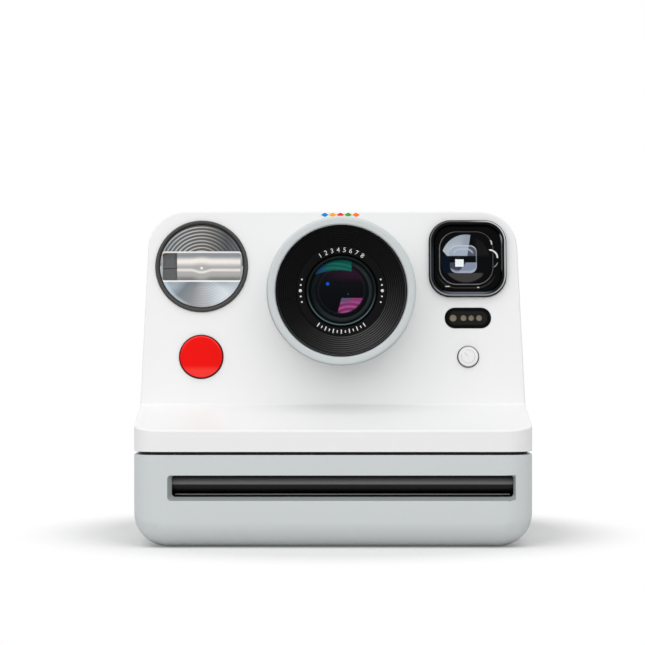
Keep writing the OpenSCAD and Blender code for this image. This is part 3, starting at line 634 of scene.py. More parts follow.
def front_shell():
    bm = cut(shell(-5, SPLIT_D, SEAM_Z, BODY_H + 5), *panel_openings())
    return make_piece("front_shell_moulding", bm, "white_shell", WHITE_SHELL, "front_shell", **SHELL_EDGE)


tell(front_shell())

# %% [markdown]
# ## Rear shell
# The rear shell closes the body over the mirror: a long slope with the keys and the picture counter on it,
# and a round boss that carries the eyepiece. The strap bars sit in two pockets in its sides.

# %% Rear shell
STRAP_D, STRAP_Z = 92.0, 57.0
POWER_AT, FLASH_KEY_AT, KEY_R = (-30, 110), (-12, 110), 4.0
COUNTER_AT, COUNTER_W, COUNTER_H = (-21, 122), 12.0, 8.0
EYEPIECE_Z, EYEPIECE_R = 80.5, 9.5


def rear_shell():
    bm = shell(SPLIT_D + 0.12, BODY_D + 5, SEAM_Z, BODY_H + 5)
    boss = rod(EYEPIECE_R + 1.9, 86, 108, level_behind(RIGHT_X, 0, EYEPIECE_Z), 96)
    cups = [box(side * 52 - 3.2, side * 52 + 3.2, STRAP_D - 6, STRAP_D + 6, STRAP_Z - 4.5, STRAP_Z + 4.5)
            for side in (-1, 1)]
    bm = with_added(bm, boss, *cups)
    pockets = [rounded_block(9, 6, 1.5, -4.5, 4.5, beside(side * BODY_W / 2, STRAP_D, STRAP_Z))
               for side in (-1, 1)]
    keys = [rod(KEY_R + BUTTON_GAP, -8, 4, on_slope(*at), 64) for at in (POWER_AT, FLASH_KEY_AT)]
    counter = rounded_block(COUNTER_W + 2 * GAP, COUNTER_H + 2 * GAP, 2, -8, 4, on_slope(*COUNTER_AT))
    bore = rod(EYEPIECE_R + GAP, 80, 125, level_behind(RIGHT_X, 0, EYEPIECE_Z), 96)
    bm = cut(bm, bore, counter, *keys, *pockets)
    return make_piece("rear_shell_moulding", bm, "white_shell", WHITE_SHELL, "rear_shell", **SHELL_EDGE)


tell(rear_shell())

# %% [markdown]
# ## Lower tub and film door
# The grey tub holds the film chamber. The film door folds down in front of it on two hinges, and the
# picture leaves through the long slot in its face. The slot has a chamfer along its lower edge and its ends.

# %% Tub and door
SLOT_X, SLOT_W, SLOT_Z, SLOT_H, SLOT_CHAMFER = 2.65, 95.7, 14.35, 6.05, 1.25
SLOT_LEFT_WIDER, SLOT_RIGHT_WIDER, SLOT_LOWER = 1.35, 1.0, 1.2
SHIELD_Z = 17.55
FOOT_PLACES = [(-44, 46), (44, 46), (-42, 136), (42, 136)]
SCREW_PLACES = [(-30, 52), (30, 52), (-30, 138), (30, 138)]
HINGE_X = (-36, 36)
LATCH_D, LATCH_Z, USB_D, USB_Z = 45.0, 16.0, 120.0, 16.0


def upright(x, d):
    return shift(x, back(d), 0)


def hinge_axis(x):
    return shift(x, back(HINGE_D), HINGE_Z) @ turn(90, "Y")


def lower_tub():
    bm = shell(HINGE_D + 0.2, BODY_D + 5, -5, SEAM_LOW)
    ways = [box(52, 60, LATCH_D - 3.2, LATCH_D + 3.2, LATCH_Z - 5.2, LATCH_Z + 5.2)]
    ways += [box(-60, -52, USB_D - 4.6, USB_D + 4.6, USB_Z - 2, USB_Z + 2)]
    ways += [rod(4.15, -1, FOOT_H + 0.65, upright(*at), 48) for at in FOOT_PLACES]
    ways += [rod(2.15, -1, FOOT_H + 1, upright(*at), 32) for at in SCREW_PLACES]
    ways += [rod(3.6, side * 6 - 2, side * 6 + 2, hinge_axis(x), 40) for x in HINGE_X for side in (-1, 1)]
    bm = cut(bm, *ways)
    for x in HINGE_X:
        knuckle = rod(2.6, -4, 4, hinge_axis(x), 40)
        web = box(x - 4, x + 4, HINGE_D, HINGE_D + 4, HINGE_Z - 2.3, HINGE_Z + 1.6)
        bm = with_added(bm, knuckle, web)
    return make_piece("lower_tub_moulding", bm, "grey_shell", GREY_SHELL, "lower_tub", **SHELL_EDGE)


def slot_chamfer():
    """A tool that opens the slot towards the face at its ends and below."""
    place = level_at(SLOT_X, 0, SLOT_Z + SLOT_H / 2)
    bm = rounded_block(SLOT_W, SLOT_H, 1.0, -SLOT_CHAMFER, 0.05, place)
    bm.transform(place.inverted())
    for vert in bm.verts:
        if vert.co.z > -SLOT_CHAMFER / 2:
            vert.co.x += SLOT_RIGHT_WIDER if vert.co.x > 0 else -SLOT_LEFT_WIDER
            vert.co.y -= SLOT_LOWER * (vert.co.y < 0)
    bm.transform(place)
    return bm


def door_shell():
    bm = shell(-5, HINGE_D - 0.2, -5, SEAM_LOW - 0.3)
    slot = rounded_block(SLOT_W, SLOT_H, 1.0, -6, 2, level_at(SLOT_X, 0, SLOT_Z + SLOT_H / 2))
    round_hinge = rod(2.9, -60, 60, hinge_axis(0), 48)
    below_hinge = box(-60, 60, HINGE_D - 3.3, HINGE_D + 1, -1, HINGE_Z)
    bm = cut(bm, slot, slot_chamfer(), round_hinge, below_hinge)
    ears = []
    for x in HINGE_X:
        for side in (-1, 1):
            middle = x + side * 6
            ears += [rod(2.6, side * 6 - 1.7, side * 6 + 1.7, hinge_axis(x), 40)]
            ears += [box(middle - 1.6, middle + 1.6, HINGE_D - 8, HINGE_D, HINGE_Z - 2.3, HINGE_Z + 1.4)]
    bm = with_added(bm, *ears)
    return make_piece("door_moulding", bm, "grey_shell", GREY_SHELL, "door_shell", body="film_door",
                      **SHELL_EDGE)


tell(lower_tub(), door_shell())

# %% [markdown]
# ## Signals for drawn surfaces
# Several small parts carry a drawn surface: rings on the flash window, coatings on glass, a mark on a key.
# All of them are worked out in the frame of their own place, in millimetres. A Mapping node of type
# Texture undoes that place's move and turn; Math nodes then build masks that run from 0 to 1.

# %% Signals
def all_of(first, *others):
    """The product of several masks."""
    for other in others:
        first = first * other
    return first


def rises(value, low, high):
    """A smooth step from 0 at low to 1 at high; low may be the larger, and the step then falls."""
    low, high, start = (high, low, 1) if low > high else (low, high, 0)
    node = add_node(value.owner, "ShaderNodeMapRange", interpolation_type="SMOOTHSTEP",
                    **{"From Min": low, "From Max": high, "To Min": start, "To Max": 1 - start})
    join(value, node.inputs["Value"])
    return Signal(value.owner, node.outputs["Result"])


def between(value, low, high, soft=0.12):
    """1 where a signal lies between two values, with soft ends."""
    return rises(value, low - soft, low + soft) * rises(value, high + soft, high - soft)


def local_point(material, place):
    """X, Y and Z signals in mm in the frame of a place."""
    mapping = add_node(material, "ShaderNodeMapping", vector_type="TEXTURE", Location=place.translation * MM,
                       Rotation=place.to_euler(), Scale=(MM, MM, MM))
    join(object_point(material), mapping.inputs["Vector"])
    split = add_node(material, "ShaderNodeSeparateXYZ")
    join(mapping.outputs["Vector"], split.inputs[0])
    return [Signal(material, socket) for socket in split.outputs]


def distance_to(point, x, y):
    """Distance in mm, in the plane of a place, from the point (x, y)."""
    across, up = point[0] - x, point[1] - y
    return root(across * across + up * up)


def rounded_distance(x, y, half_x, half_y, radius):
    """Signed distance in mm from the outline of a rounded rectangle, below 0 inside it."""
    over_x, over_y = abs(x) - (half_x - radius), abs(y) - (half_y - radius)
    out_x, out_y = larger(over_x, 0.0), larger(over_y, 0.0)
    return root(out_x * out_x + out_y * out_y) + smaller(larger(over_x, over_y), 0.0) - radius


def line_at(distance, at, half):
    """A soft line where a distance signal passes a value."""
    return rises(abs(distance - at), half, half * 0.25)


def ring_wave(radius, pitch, sharpness):
    """Rings as a wave from 0 to 1 whose crests narrow as the sharpness grows."""
    return (sine(radius * (math.tau / pitch)) * 0.5 + 0.5) ** sharpness


def colour_sweep(value, *stops):
    """A Color Ramp on a 0 to 1 signal; each stop is a position and a colour or a grey."""
    ramp = add_node(value.owner, "ShaderNodeValToRGB")
    elements = ramp.color_ramp.elements
    elements[0].position, elements[1].position = stops[0][0], stops[-1][0]
    for position, _ in stops[1:-1]:
        elements.new(position)
    for element, (_, colour) in zip(elements, stops):
        element.color = (*(colour if isinstance(colour, tuple) else (colour,) * 3), 1)
    join(value, ramp.inputs[0])
    return ramp.outputs["Color"]


def clear_material(name, colour=(1, 1, 1), shine=0.3):
    """Clear plastic or coated glass: light goes straight through, and a share of the reflection stays."""
    material = bpy.data.materials.new(name)
    material.use_nodes = True
    material.node_tree.nodes.clear()
    through = add_node(material, "ShaderNodeBsdfTransparent", Color=(*colour, 1))
    gloss = add_node(material, "ShaderNodeBsdfGlossy", Color=(1, 1, 1, 1), Roughness=0.03)
    rim = Signal(material, add_node(material, "ShaderNodeFresnel", IOR=1.49).outputs[0])
    output = add_node(material, "ShaderNodeOutputMaterial")
    join(mixed(rim * shine, through.outputs[0], gloss.outputs[0]), output.inputs["Surface"])
    return material


def draw_on(material, mask, colour, roughness=0.35, specular=0.1):
    """Lays a solid drawn layer, where its mask is 1, over a clear material."""
    drawn = add_node(material, "ShaderNodeBsdfPrincipled", Roughness=roughness)
    drawn.inputs["Specular IOR Level"].default_value = specular
    join(colour, drawn.inputs["Base Color"])
    surface = material.node_tree.nodes["Material Output"].inputs["Surface"]
    join(mixed(mask, surface.links[0].from_socket, drawn.outputs[0]), surface)


print("signals ready")

# %% [markdown]
# ## Lens barrel and face disc
# The barrel is a turned grey ring that stands out of the panel. The black disc inside it is moulded with
# fine concentric grooves, which kill stray light, and with a plain raised ring near the glass. Both are
# profiles spun round the lens axis, so every groove is real geometry.

# %% Barrel and disc
LENS_PLACE = level_at(LENS_X, 0, LENS_Z)
GROOVE_FROM, GROOVE_TO, GROOVE_PITCH = 18.2, 13.1, 0.6


def rounded_corner(before, corner, after, radius, steps=5):
    """Points of an arc that rounds a profile's corner."""
    corner, before, after = Vector(corner), Vector(before), Vector(after)
    way_in, way_out = (before - corner).normalized(), (after - corner).normalized()
    half = math.acos(max(-1, min(1, way_in.dot(way_out)))) / 2
    start, end = corner + way_in * radius / math.tan(half), corner + way_out * radius / math.tan(half)
    centre = corner + (way_in + way_out).normalized() * radius / math.sin(half)
    points = []
    for step in range(steps + 1):
        spoke = (start - centre).slerp(end - centre, step / steps).normalized()
        points.append(tuple(centre + spoke * radius))
    return points


def smooth_profile(*corners):
    """A closed profile; each corner is (radius from the axis, height, rounding)."""
    points = []
    for index, (r, z, rounding) in enumerate(corners):
        before, after = corners[index - 1][:2], corners[(index + 1) % len(corners)][:2]
        points += rounded_corner(before, (r, z), after, rounding) if rounding else [(r, z)]
    return points


def lens_barrel():
    profile = smooth_profile(
        (18.2, -46.9, 0), (19.3, -46.9, 0), (19.3, -44.95, 0), (BARREL_R, -44.95, 0.3),
        (BARREL_R, -22.0, 1.0), (19.25, -22.0, 0.35), (18.9, -22.6, 0), (18.9, -25.2, 0), (18.2, -25.2, 0))
    bm = turned(profile, LENS_PLACE, 160)
    material = variant(RING_GREY, "barrel_plastic")
    x, y, z = local_point(material, LENS_PLACE)
    # Painted shade: the turned-down lower edge of the ring is painted the darkest grey on it
    under = all_of(rises(distance_to((x, y), 0, 0), BARREL_R - 0.5, BARREL_R - 0.1),
                   rises(y + x * 0.35, 2.0, -12.0), rises(z, -23.6, -22.9), 0.7)
    paint(material, None, (under, (0.2, 0.215, 0.22)))
    return make_piece("lens_barrel_ring", bm, "ring_grey", material, "lens_barrel")


def disc_profile():
    """The face disc from its back, round the rim, over the grooves and the plain ring to the bore."""
    points = [(10.1, -25.15), (18.75, -25.15), (18.75, -23.0), (18.6, -22.8), (18.35, -22.8), (18.3, -23.15)]
    r = GROOVE_FROM
    while r > GROOVE_TO:
        low = -23.0 - (GROOVE_FROM - r) * 0.12
        points += [(r, low - 0.2), (r - 0.18, low), (r - 0.36, low), (r - 0.54, low - 0.2)]
        r -= GROOVE_PITCH
    points += [(12.95, -23.75), (12.85, -23.45), (12.6, -23.38), (10.75, -23.6), (10.55, -23.75),
               (10.45, -24.3), (10.1, -24.35)]
    return points


def grooved_black():
    """Black plastic; its grooves and its rim carry a painted glint, low on the right, where they turn towards
    the light.
    """
    material = moulded_plastic("lens_black_plastic", (0.0036, 0.0036, 0.0038), 0.5, 0.25, 0.05)
    point = local_point(material, LENS_PLACE)
    radius = distance_to(point, 0, 0)
    across = point[0] * 0.423 - point[1] * 0.906
    towards = across / radius * 0.5 + 0.5
    # Painted glint: the grooves are painted lighter towards the lower right, and the rim gets a painted
    # highlight there
    glint = colour_sweep(towards, (0.0, 0.0024), (0.4, 0.0042), (0.56, 0.006), (0.68, 0.011), (0.82, 0.021),
                         (0.91, 0.033), (1.0, 0.058))
    grooved = rises(radius, 12.7, 13.2) * rises(radius, 18.25, 18.1)
    crest = ring_wave(radius, GROOVE_PITCH, 1.2)
    lines = glint * (crest * 1.7 + 0.2)
    rim = rises(radius, 18.3, 18.4) * rises(radius, 18.62, 18.5)
    paint(material, (0.004, 0.004, 0.0042), (grooved, lines),
          (rim * rises(towards, 0.1, 0.9), (0.075, 0.08, 0.085)))
    return material


LENS_BLACK = grooved_black()


def lens_disc():
    bm = turned(disc_profile(), LENS_PLACE, 160)
    return make_piece("lens_face_disc", bm, "lens_black", LENS_BLACK, "lens_face")


tell(lens_barrel(), lens_disc())

# %% [markdown]
# ## Scale round the glass
# A dial of plain white marks is printed on the raised ring: the numbers 1 to 8 over the glass, short
# strokes under it, and dots at the sides. The digits are Blender's own plain font turned into a mesh and
# laid on the ring; the strokes are small boxes.

# %% Dial marks
MARK_WHITE = shader_material("mark_white_ink", (0.78, 0.78, 0.78), 0.5)
vary(MARK_WHITE, noise(MARK_WHITE, 900, 3), 0.42, 0.6)
MARK_THICK, MARK_RADIUS, MARK_BASE = 0.16, 11.75, -23.52


def digit(character, size):
    """A digit as a flat bmesh in mm, centred on the origin."""
    curve = bpy.data.curves.new("digit", "FONT")
    curve.body = character
    curve.size = size
    curve.align_x = "CENTER"
    curve.align_y = "CENTER"
    curve.resolution_u = 4
    source = bpy.data.objects.new("digit", curve)
    bpy.context.scene.collection.objects.link(source)
    mesh = bpy.data.meshes.new_from_object(source.evaluated_get(bpy.context.evaluated_depsgraph_get()))
    bm = bmesh.new()
    bm.from_mesh(mesh)
    bpy.data.objects.remove(source)
    bpy.data.curves.remove(curve)
    bpy.data.meshes.remove(mesh)
    xs, ys = [v.co.x for v in bm.verts], [v.co.y for v in bm.verts]
    middle = Vector(((min(xs) + max(xs)) / 2, (min(ys) + max(ys)) / 2, 0))
    bmesh.ops.translate(bm, vec=-middle, verts=bm.verts)
    return bm


def on_dial(bm, clockwise):
    """Moves a small flat shape out to the marks' circle; it turns clockwise, in degrees, from the top."""
    bm.transform(LENS_PLACE @ shift(0, 0, MARK_BASE) @ turn(-clockwise, "Z") @ shift(0, MARK_RADIUS, 0))
    return bm


def stroke(width, height):
    bm = bmesh.new()
    bmesh.ops.create_grid(bm, x_segments=1, y_segments=1, size=0.5)
    bm.transform(Matrix.Diagonal((width, height, 1, 1)))
    return thicken(bm, MARK_THICK)


def dial_marks():
    marks = [on_dial(thicken(digit(str(number), 1.9), MARK_THICK), -31 + (number - 1) * 62 / 7)
             for number in range(1, 9)]
    marks += [on_dial(stroke(0.3, 1.25 if step % 2 == 0 else 0.75), 180 - 34 + step * 68 / 12)
              for step in range(13)]
    for middle in (90, 270):
        for step in (-2, -1, 0, 1, 2):
            dot = bmesh.new()
            bmesh.ops.create_circle(dot, cap_ends=True, segments=20, radius=0.26 if step else 0.45)
            marks.append(on_dial(thicken(dot, MARK_THICK), middle + step * 8))
    return make_piece("dial_marks", joined(*marks), "lens_black", MARK_WHITE)


tell(dial_marks())

# %% [markdown]
# ## Front glass and its holder
# The glass is a shallow dome in a dark holder, whose inside falls back to the shutter as a cone. A coated
# lens hardly reflects white light; what it does reflect is coloured. So the plain reflection is kept very
# weak, and what shows on the glass is drawn, nearly solid: the cone and the dark pupil behind it, a green
# arc near the upper left rim, from the outer face, and a violet patch low on the right, from an inner one.

# %% Glass
def holder_black():
    """Blackened metal, with a painted highlight line along the lower half of its edge and painted light on
    its cone.
    """
    material = moulded_plastic("holder_black_metal", (0.008, 0.0115, 0.0115), 0.6, 0.05, 0.05)
    point = local_point(material, LENS_PLACE)
    radius = distance_to(point, 0, 0)
    # A painted highlight line on the lower half of the edge, and painted light on one side of the cone
    lower = rises(point[1], 1.0, -7.5)
    line = all_of(rises(radius, 9.5, 9.62), rises(radius, 9.95, 9.82), lower)
    painted_light_side = rises(point[0] - point[1] * 0.8, -9.0, 6.0)
    cone = rises(radius, 9.3, 8.9) * painted_light_side
    paint(material, (0.008, 0.0115, 0.0115), (cone, (0.045, 0.066, 0.066)), (line, (0.085, 0.135, 0.145)))
    return material


HOLDER_BLACK = holder_black()


def lens_holder():
    profile = smooth_profile((6.4, -28, 0), (11.6, -28, 0), (11.6, -25.3, 0), (HOLDER_R, -25.3, 0),
                             (HOLDER_R, -23.6, 0.25), (9.45, -23.6, 0.1), (9.3, -23.85, 0), (9.3, -25.4, 0),
                             (8.7, -25.4, 0), (7.5, -26.8, 0.1), (6.4, -26.9, 0))
    bm = turned(profile, LENS_PLACE, 128)
    return make_piece("lens_holder_ring", bm, "lens_black", HOLDER_BLACK, "lens_holder")


def coated_glass():
    """Dark glass: what shows on it is drawn as soft-edged reflections in the colours of its coatings."""
    material = clear_material("coated_glass", (0.88, 0.92, 0.92), 0.08)
    point = local_point(material, LENS_PLACE)
    x, y = point[0], point[1]
    from_axis = distance_to(point, 0, 0)
    # The arc lies between the glass's rim and a wider circle from below, and ends square on the right
    arc = all_of(rises(from_axis, 9.3, 8.9), rises(distance_to(point, -0.6, -13.05), 18.8, 19.15),
                 rises(x, 3.05, 2.8), rises(x, -7.9, -6.9))
    streak = sine(distance_to(point, -2.2, -7.0) * 5.2)
    green = layers((0.005, 0.09, 0.07), (rises(streak, -0.4, 1.0), (0.008, 0.15, 0.115)),
                   (rises(from_axis, 8.2, 9.0), (0.004, 0.06, 0.066)),
                   (rises(x, -3.4, -6.2), (0.014, 0.065, 0.165)))
    # A dim violet zone under it, and rings round the pupil
    purple = all_of(rises(y, 2.2, 4.6), rises(from_axis, 7.3, 6.9), rises(x, -6.5, 2.5))
    ring = rises(from_axis, 6.35, 6.5) * rises(from_axis, 6.9, 6.7)
    # The patch from an inner face: grey where it starts, then pink with curved streaks
    violet = all_of(rises(y, -1.95, -2.2), rises(x - y * 0.26, 0.45, 0.75),
                    rises(distance_to(point, 0, 0.2), 6.75, 6.35))
    band = sine(distance_to(point, 2.5, -12) * 4.4)
    grey = rises(y, -4.3, -2.3) * rises(x, 4.2, 0.8)
    pink = layers((0.28, 0.045, 0.18), (rises(band, 0.2, 1.0) * rises(y, -2.6, -3.6), (0.44, 0.095, 0.28)),
                  (rises(band, -0.3, -1.0) * rises(y, -3.2, -4.2), (0.18, 0.027, 0.115)),
                  (grey, (0.115, 0.085, 0.155)))
    spot = rises(distance_to(point, -3.93, 1.97), 0.62, 0.36)
    small_spot = rises(distance_to(point, 1.93, -0.94), 0.32, 0.16)
    # Round the pupil shows the cone that holds the glass, lighter where it faces the light
    cone = rises(distance_to(point, 0.2, 0), 7.55, 7.95)
    lit = rises(x - y * 0.7, -8.5, 4.0)
    cone_tone = layers((0.006, 0.0085, 0.01), (lit, (0.025, 0.034, 0.034)),
                       (rises(from_axis, 8.7, 9.2), (0.009, 0.012, 0.013)))
    colour = layers((0.0028, 0.0034, 0.0048), (ring, (0.008, 0.01, 0.013)),
                    (purple, (0.019, 0.0055, 0.0175)), (cone, cone_tone), (arc, green), (violet, pink),
                    (spot, (0.008, 0.085, 0.55)), (small_spot, (0.006, 0.07, 0.08)))
    seen = rises(from_axis, 9.6, 9.3) * 0.96
    draw_on(material, seen, colour, 0.35, 0.03)
    return material


def dome(radius, rim, crown, base, place, steps=96, rings=12):
    """A disc with a domed front: rim and crown are heights of the dome, base is that of the flat back."""
    rise = crown - rim
    sphere = (radius ** 2 + rise ** 2) / (2 * rise)
    profile = [(0.0, base), (radius, base)]
    for ring in range(rings + 1):
        r = radius * (1 - ring / rings)
        profile.append((r, crown - sphere + math.sqrt(sphere ** 2 - r ** 2)))
    return turned(profile, place, steps, closed=False)


def front_glass():
    bm = dome(9.2, -24.8, -23.45, -25.4, LENS_PLACE)
    return make_piece("front_glass", bm, "optical_glass", coated_glass(), "front_lens")


tell(lens_holder(), front_glass())

# %% [markdown]
# ## Flash
# The flash is a round window in a dark rim. Its upper and lower parts are a prism lens, cut in fine rings,
# over a metallised ground. Across the middle lies a clear pane, on which the bands that the bright trough
# mirrors are drawn; at its left end the trough, the tube and two end blocks show through. The rings are
# drawn and given relief in the material, because real ridges a few hundredths of a millimetre high would
# cost far more faces than they would show; the light on them and the sweep of light over the lower part
# are painted highlights and painted reflections.

# %% Flash parts
FLASH_PLACE = on_panel(LEFT_X, FLASH_Z)
WINDOW_R = 12.15
PANE_W, PANE_LOW, PANE_HIGH = 23.1, -4.4, 4.12
RING_CENTRE = (0.0, -0.75)
RIM_GREY = moulded_plastic("rim_grey_plastic", (0.048, 0.047, 0.045), 0.34, 0.2, 0.3)


def flash_rim():
    profile = smooth_profile(
        (12.25, -5, 0), (FLASH_R, -5, 0), (FLASH_R, 0.9, 0.35), (12.75, 0.9, 0.3), (12.25, 0.35, 0))
    bm = turned(profile, FLASH_PLACE, 128)
    return make_piece("flash_rim_ring", bm, "rim_grey", RIM_GREY, "flash_rim")


def trough_bands(x, y):
    """What the bright trough mirrors: a pale band, a thin pale line under it, and a knot where both bend."""
    middle = rises(abs(x), 3.3, 0.1)
    low = rises(y, -0.3, -0.8) * 0.9 - 0.25
    bent = y + middle * low
    bands = colour_sweep(bent * 0.1 + 0.5, (0.1, (0.15, 0.15, 0.15)), (0.14, (0.2, 0.2, 0.195)),
                         (0.2, (0.36, 0.355, 0.35)), (0.24, (0.43, 0.425, 0.415)),
                         (0.32, (0.45, 0.44, 0.43)), (0.35, (0.66, 0.63, 0.6)), (0.38, (0.93, 0.88, 0.83)),
                         (0.405, (0.78, 0.75, 0.71)), (0.45, (0.4, 0.395, 0.39)), (0.5, (0.5, 0.49, 0.48)),
                         (0.55, (0.68, 0.66, 0.63)), (0.595, (0.95, 0.9, 0.85)), (0.67, (0.97, 0.92, 0.87)),
                         (0.71, (0.7, 0.67, 0.64)), (0.76, (0.35, 0.36, 0.37)),
                         (0.81, (0.24, 0.265, 0.295)), (0.88, (0.275, 0.3, 0.33)))
    star = rises(distance_to((x, y), 0.0, -0.6), 0.55, 0.15)
    ripple = noise(x.owner, 900, 3) * 0.2
    return layers(bands, (ripple, (0.45, 0.44, 0.43)), (star, (1.0, 0.98, 0.95)))


def prism_rings(x, radius):
    """Painted highlights on the rings of the upper part, over a painted reflection, strong on the left and
    dying away to the right.
    """
    across = x * (1 / 24) + 0.5
    ground = colour_sweep(across, (0.0, (0.115, 0.14, 0.175)), (0.32, (0.1, 0.105, 0.115)),
                          (0.55, (0.105, 0.102, 0.098)), (0.8, (0.062, 0.068, 0.076)),
                          (1.0, (0.085, 0.1, 0.12)))
    strength = colour_sweep(across, (0.0, 0.62), (0.3, 1.0), (0.5, 0.85), (0.7, 0.3), (0.8, 0.1), (1.0, 0.2))
    crest = ring_wave(radius, 1.0, 3.4)
    return crest, layers(ground, (crest * strength, (0.66, 0.64, 0.61)))


def brushed_sweep(x, y, radius):
    """The lower part: a painted reflection that ramps over the angle round the ring centre, straight down in
    the middle.
    """
    angle = angle_of(x, RING_CENTRE[1] - y)
    sweep = colour_sweep(angle * (1 / 3.0) + 0.5, (0.03, (0.5, 0.6, 0.68)), (0.15, (0.44, 0.53, 0.6)),
                         (0.26, (0.2, 0.235, 0.265)), (0.38, (0.27, 0.285, 0.3)), (0.5, (0.44, 0.45, 0.47)),
                         (0.63, (0.56, 0.6, 0.64)), (0.76, (0.66, 0.72, 0.76)), (0.86, (0.3, 0.335, 0.37)),
                         (0.97, (0.09, 0.12, 0.15)))
    fine = ring_wave(radius, 0.72, 1.5)
    # Painted highlights: pale on the right, and along the left rim
    deep = rises(radius, 5.0, 10.5)
    left_rim_highlight = all_of(rises(radius, 10.3, 11.4), rises(x, -2.0, -6.0), 0.6)
    return layers(sweep, (fine * 0.24, (0.16, 0.17, 0.18)), (rises(y, -6.6, -5.0) * 0.3, (0.16, 0.18, 0.2)),
                  (all_of(deep, rises(x, 1.5, 6.5), 0.45), (0.8, 0.86, 0.9)), (left_rim_highlight, (0.62, 0.72, 0.8)))


def prism_window():
    """Rings above, a painted reflection below, painted highlights on the pane's edges, and in it what the
    trough mirrors.
    """
    material = clear_material("flash_window_plastic", (0.93, 0.94, 0.95), 0.35)
    x, y, _ = local_point(material, FLASH_PLACE)
    radius = distance_to((x, y), *RING_CENTRE)
    above = rises(y, -0.2, 0.2)
    crest, rings = prism_rings(x, radius)
    outline = rounded_distance(x, y - (PANE_LOW + PANE_HIGH) / 2, PANE_W / 2, (PANE_HIGH - PANE_LOW) / 2,
                               0.8)
    pane = rises(outline, 0.05, -0.05)
    edge = line_at(outline, 0.0, 0.33)
    # Painted highlights on the pane's edges, warm at the top and white at the bottom
    edge_highlight = layers((0.42, 0.42, 0.41), (rises(y, PANE_HIGH - 0.9, PANE_HIGH), (0.97, 0.92, 0.86)),
                        (rises(y, PANE_LOW + 0.5, PANE_LOW + 0.1), (1.0, 1.0, 1.0)))
    mirrored = all_of(pane, rises(x, -7.35, -7.0), 0.97)
    colour = layers(brushed_sweep(x, y, radius), (above, rings),
                    (pane, trough_bands(x, y)), (edge, edge_highlight))
    drawn = larger(1.0 - pane, larger(mirrored, edge))
    draw_on(material, drawn, colour, 0.3)
    bump(material, all_of(crest, above, 1.0 - pane), 0.00012, 0.5)
    return material


def flash_window():
    profile = smooth_profile((0.0, -0.9, 0), (WINDOW_R, -0.9, 0), (WINDOW_R, 0.42, 0.15), (0.0, 0.6, 0))
    bm = turned(profile, FLASH_PLACE, 128, closed=False)
    return make_piece("flash_window_lens", bm, "clear_window", prism_window(), "flash_window")


def reflector_metal():
    """Bright metal, with the same painted reflection bands as the pane over it."""
    material = shader_material("reflector_metal", (0.6, 0.6, 0.6), 0.4, Metallic=0.85)
    x, y, _ = local_point(material, FLASH_PLACE)
    paint(material, trough_bands(x, y))
    return material


REFLECTOR = reflector_metal()
SHADE_GREY = moulded_plastic("shade_grey_plastic", (0.135, 0.133, 0.128), 0.5, 0.8, 0.2)


def flash_reflector():
    """A trough with a round floor, cut out of a block just as the light box is moulded."""
    bm = rounded_block(24.0, 11.6, 0.6, -9, -0.95, FLASH_PLACE)
    trough = bmesh.new()
    bmesh.ops.create_cone(trough, cap_ends=True, segments=72, radius1=4.9, radius2=4.9, depth=22.9)
    trough.transform(FLASH_PLACE @ shift(0, -0.25, -1.0) @ turn(90, "Y"))
    bm = cut(bm, trough)
    return make_piece("flash_reflector_trough", bm, "reflector", REFLECTOR, "flash_reflector")


def flash_end_blocks():
    """Two dark blocks at the left end of the trough, which hold the tube between them."""
    blocks = []
    for low, high in ((-4.6, -0.62), (-0.42, 3.9)):
        block = bmesh.new()
        bmesh.ops.create_cube(block, size=1)
        block.transform(Matrix.Diagonal((4.2, high - low, 1.6, 1)))
        for vert in block.verts:
            if vert.co.x > 0 and abs(vert.co.y + (low - high) / 2) < 0.01:
                vert.co.x += 0.35 * (low < -1) - 0.15
        block.transform(FLASH_PLACE @ shift(-9.3, (low + high) / 2, -1.85))
        blocks.append(block)
    return make_piece("flash_end_blocks", joined(*blocks), "rim_grey", SHADE_GREY, edge=0.15)


tell(flash_rim(), flash_window(), flash_reflector(), flash_end_blocks())

# %% [markdown]
# ## Viewfinder
# A gloss black bezel holds a clear window with a swollen middle. Behind it a mask leaves a small opening,
# through which the room behind the camera is seen, small and bright. The window is hard gloss plastic, and
# what it mirrors of a window of the room is painted on it as painted reflections: pale patches inside and a
# thin bright line along each edge. The bezel's bright lines are painted highlights.

# %% Viewfinder parts
FINDER_PLACE = on_panel(RIGHT_X, FINDER_Z)
GLOSS_BLACK = moulded_plastic("gloss_black_plastic", (0.0035, 0.0036, 0.0038), 0.12, 0.05, 0.03)


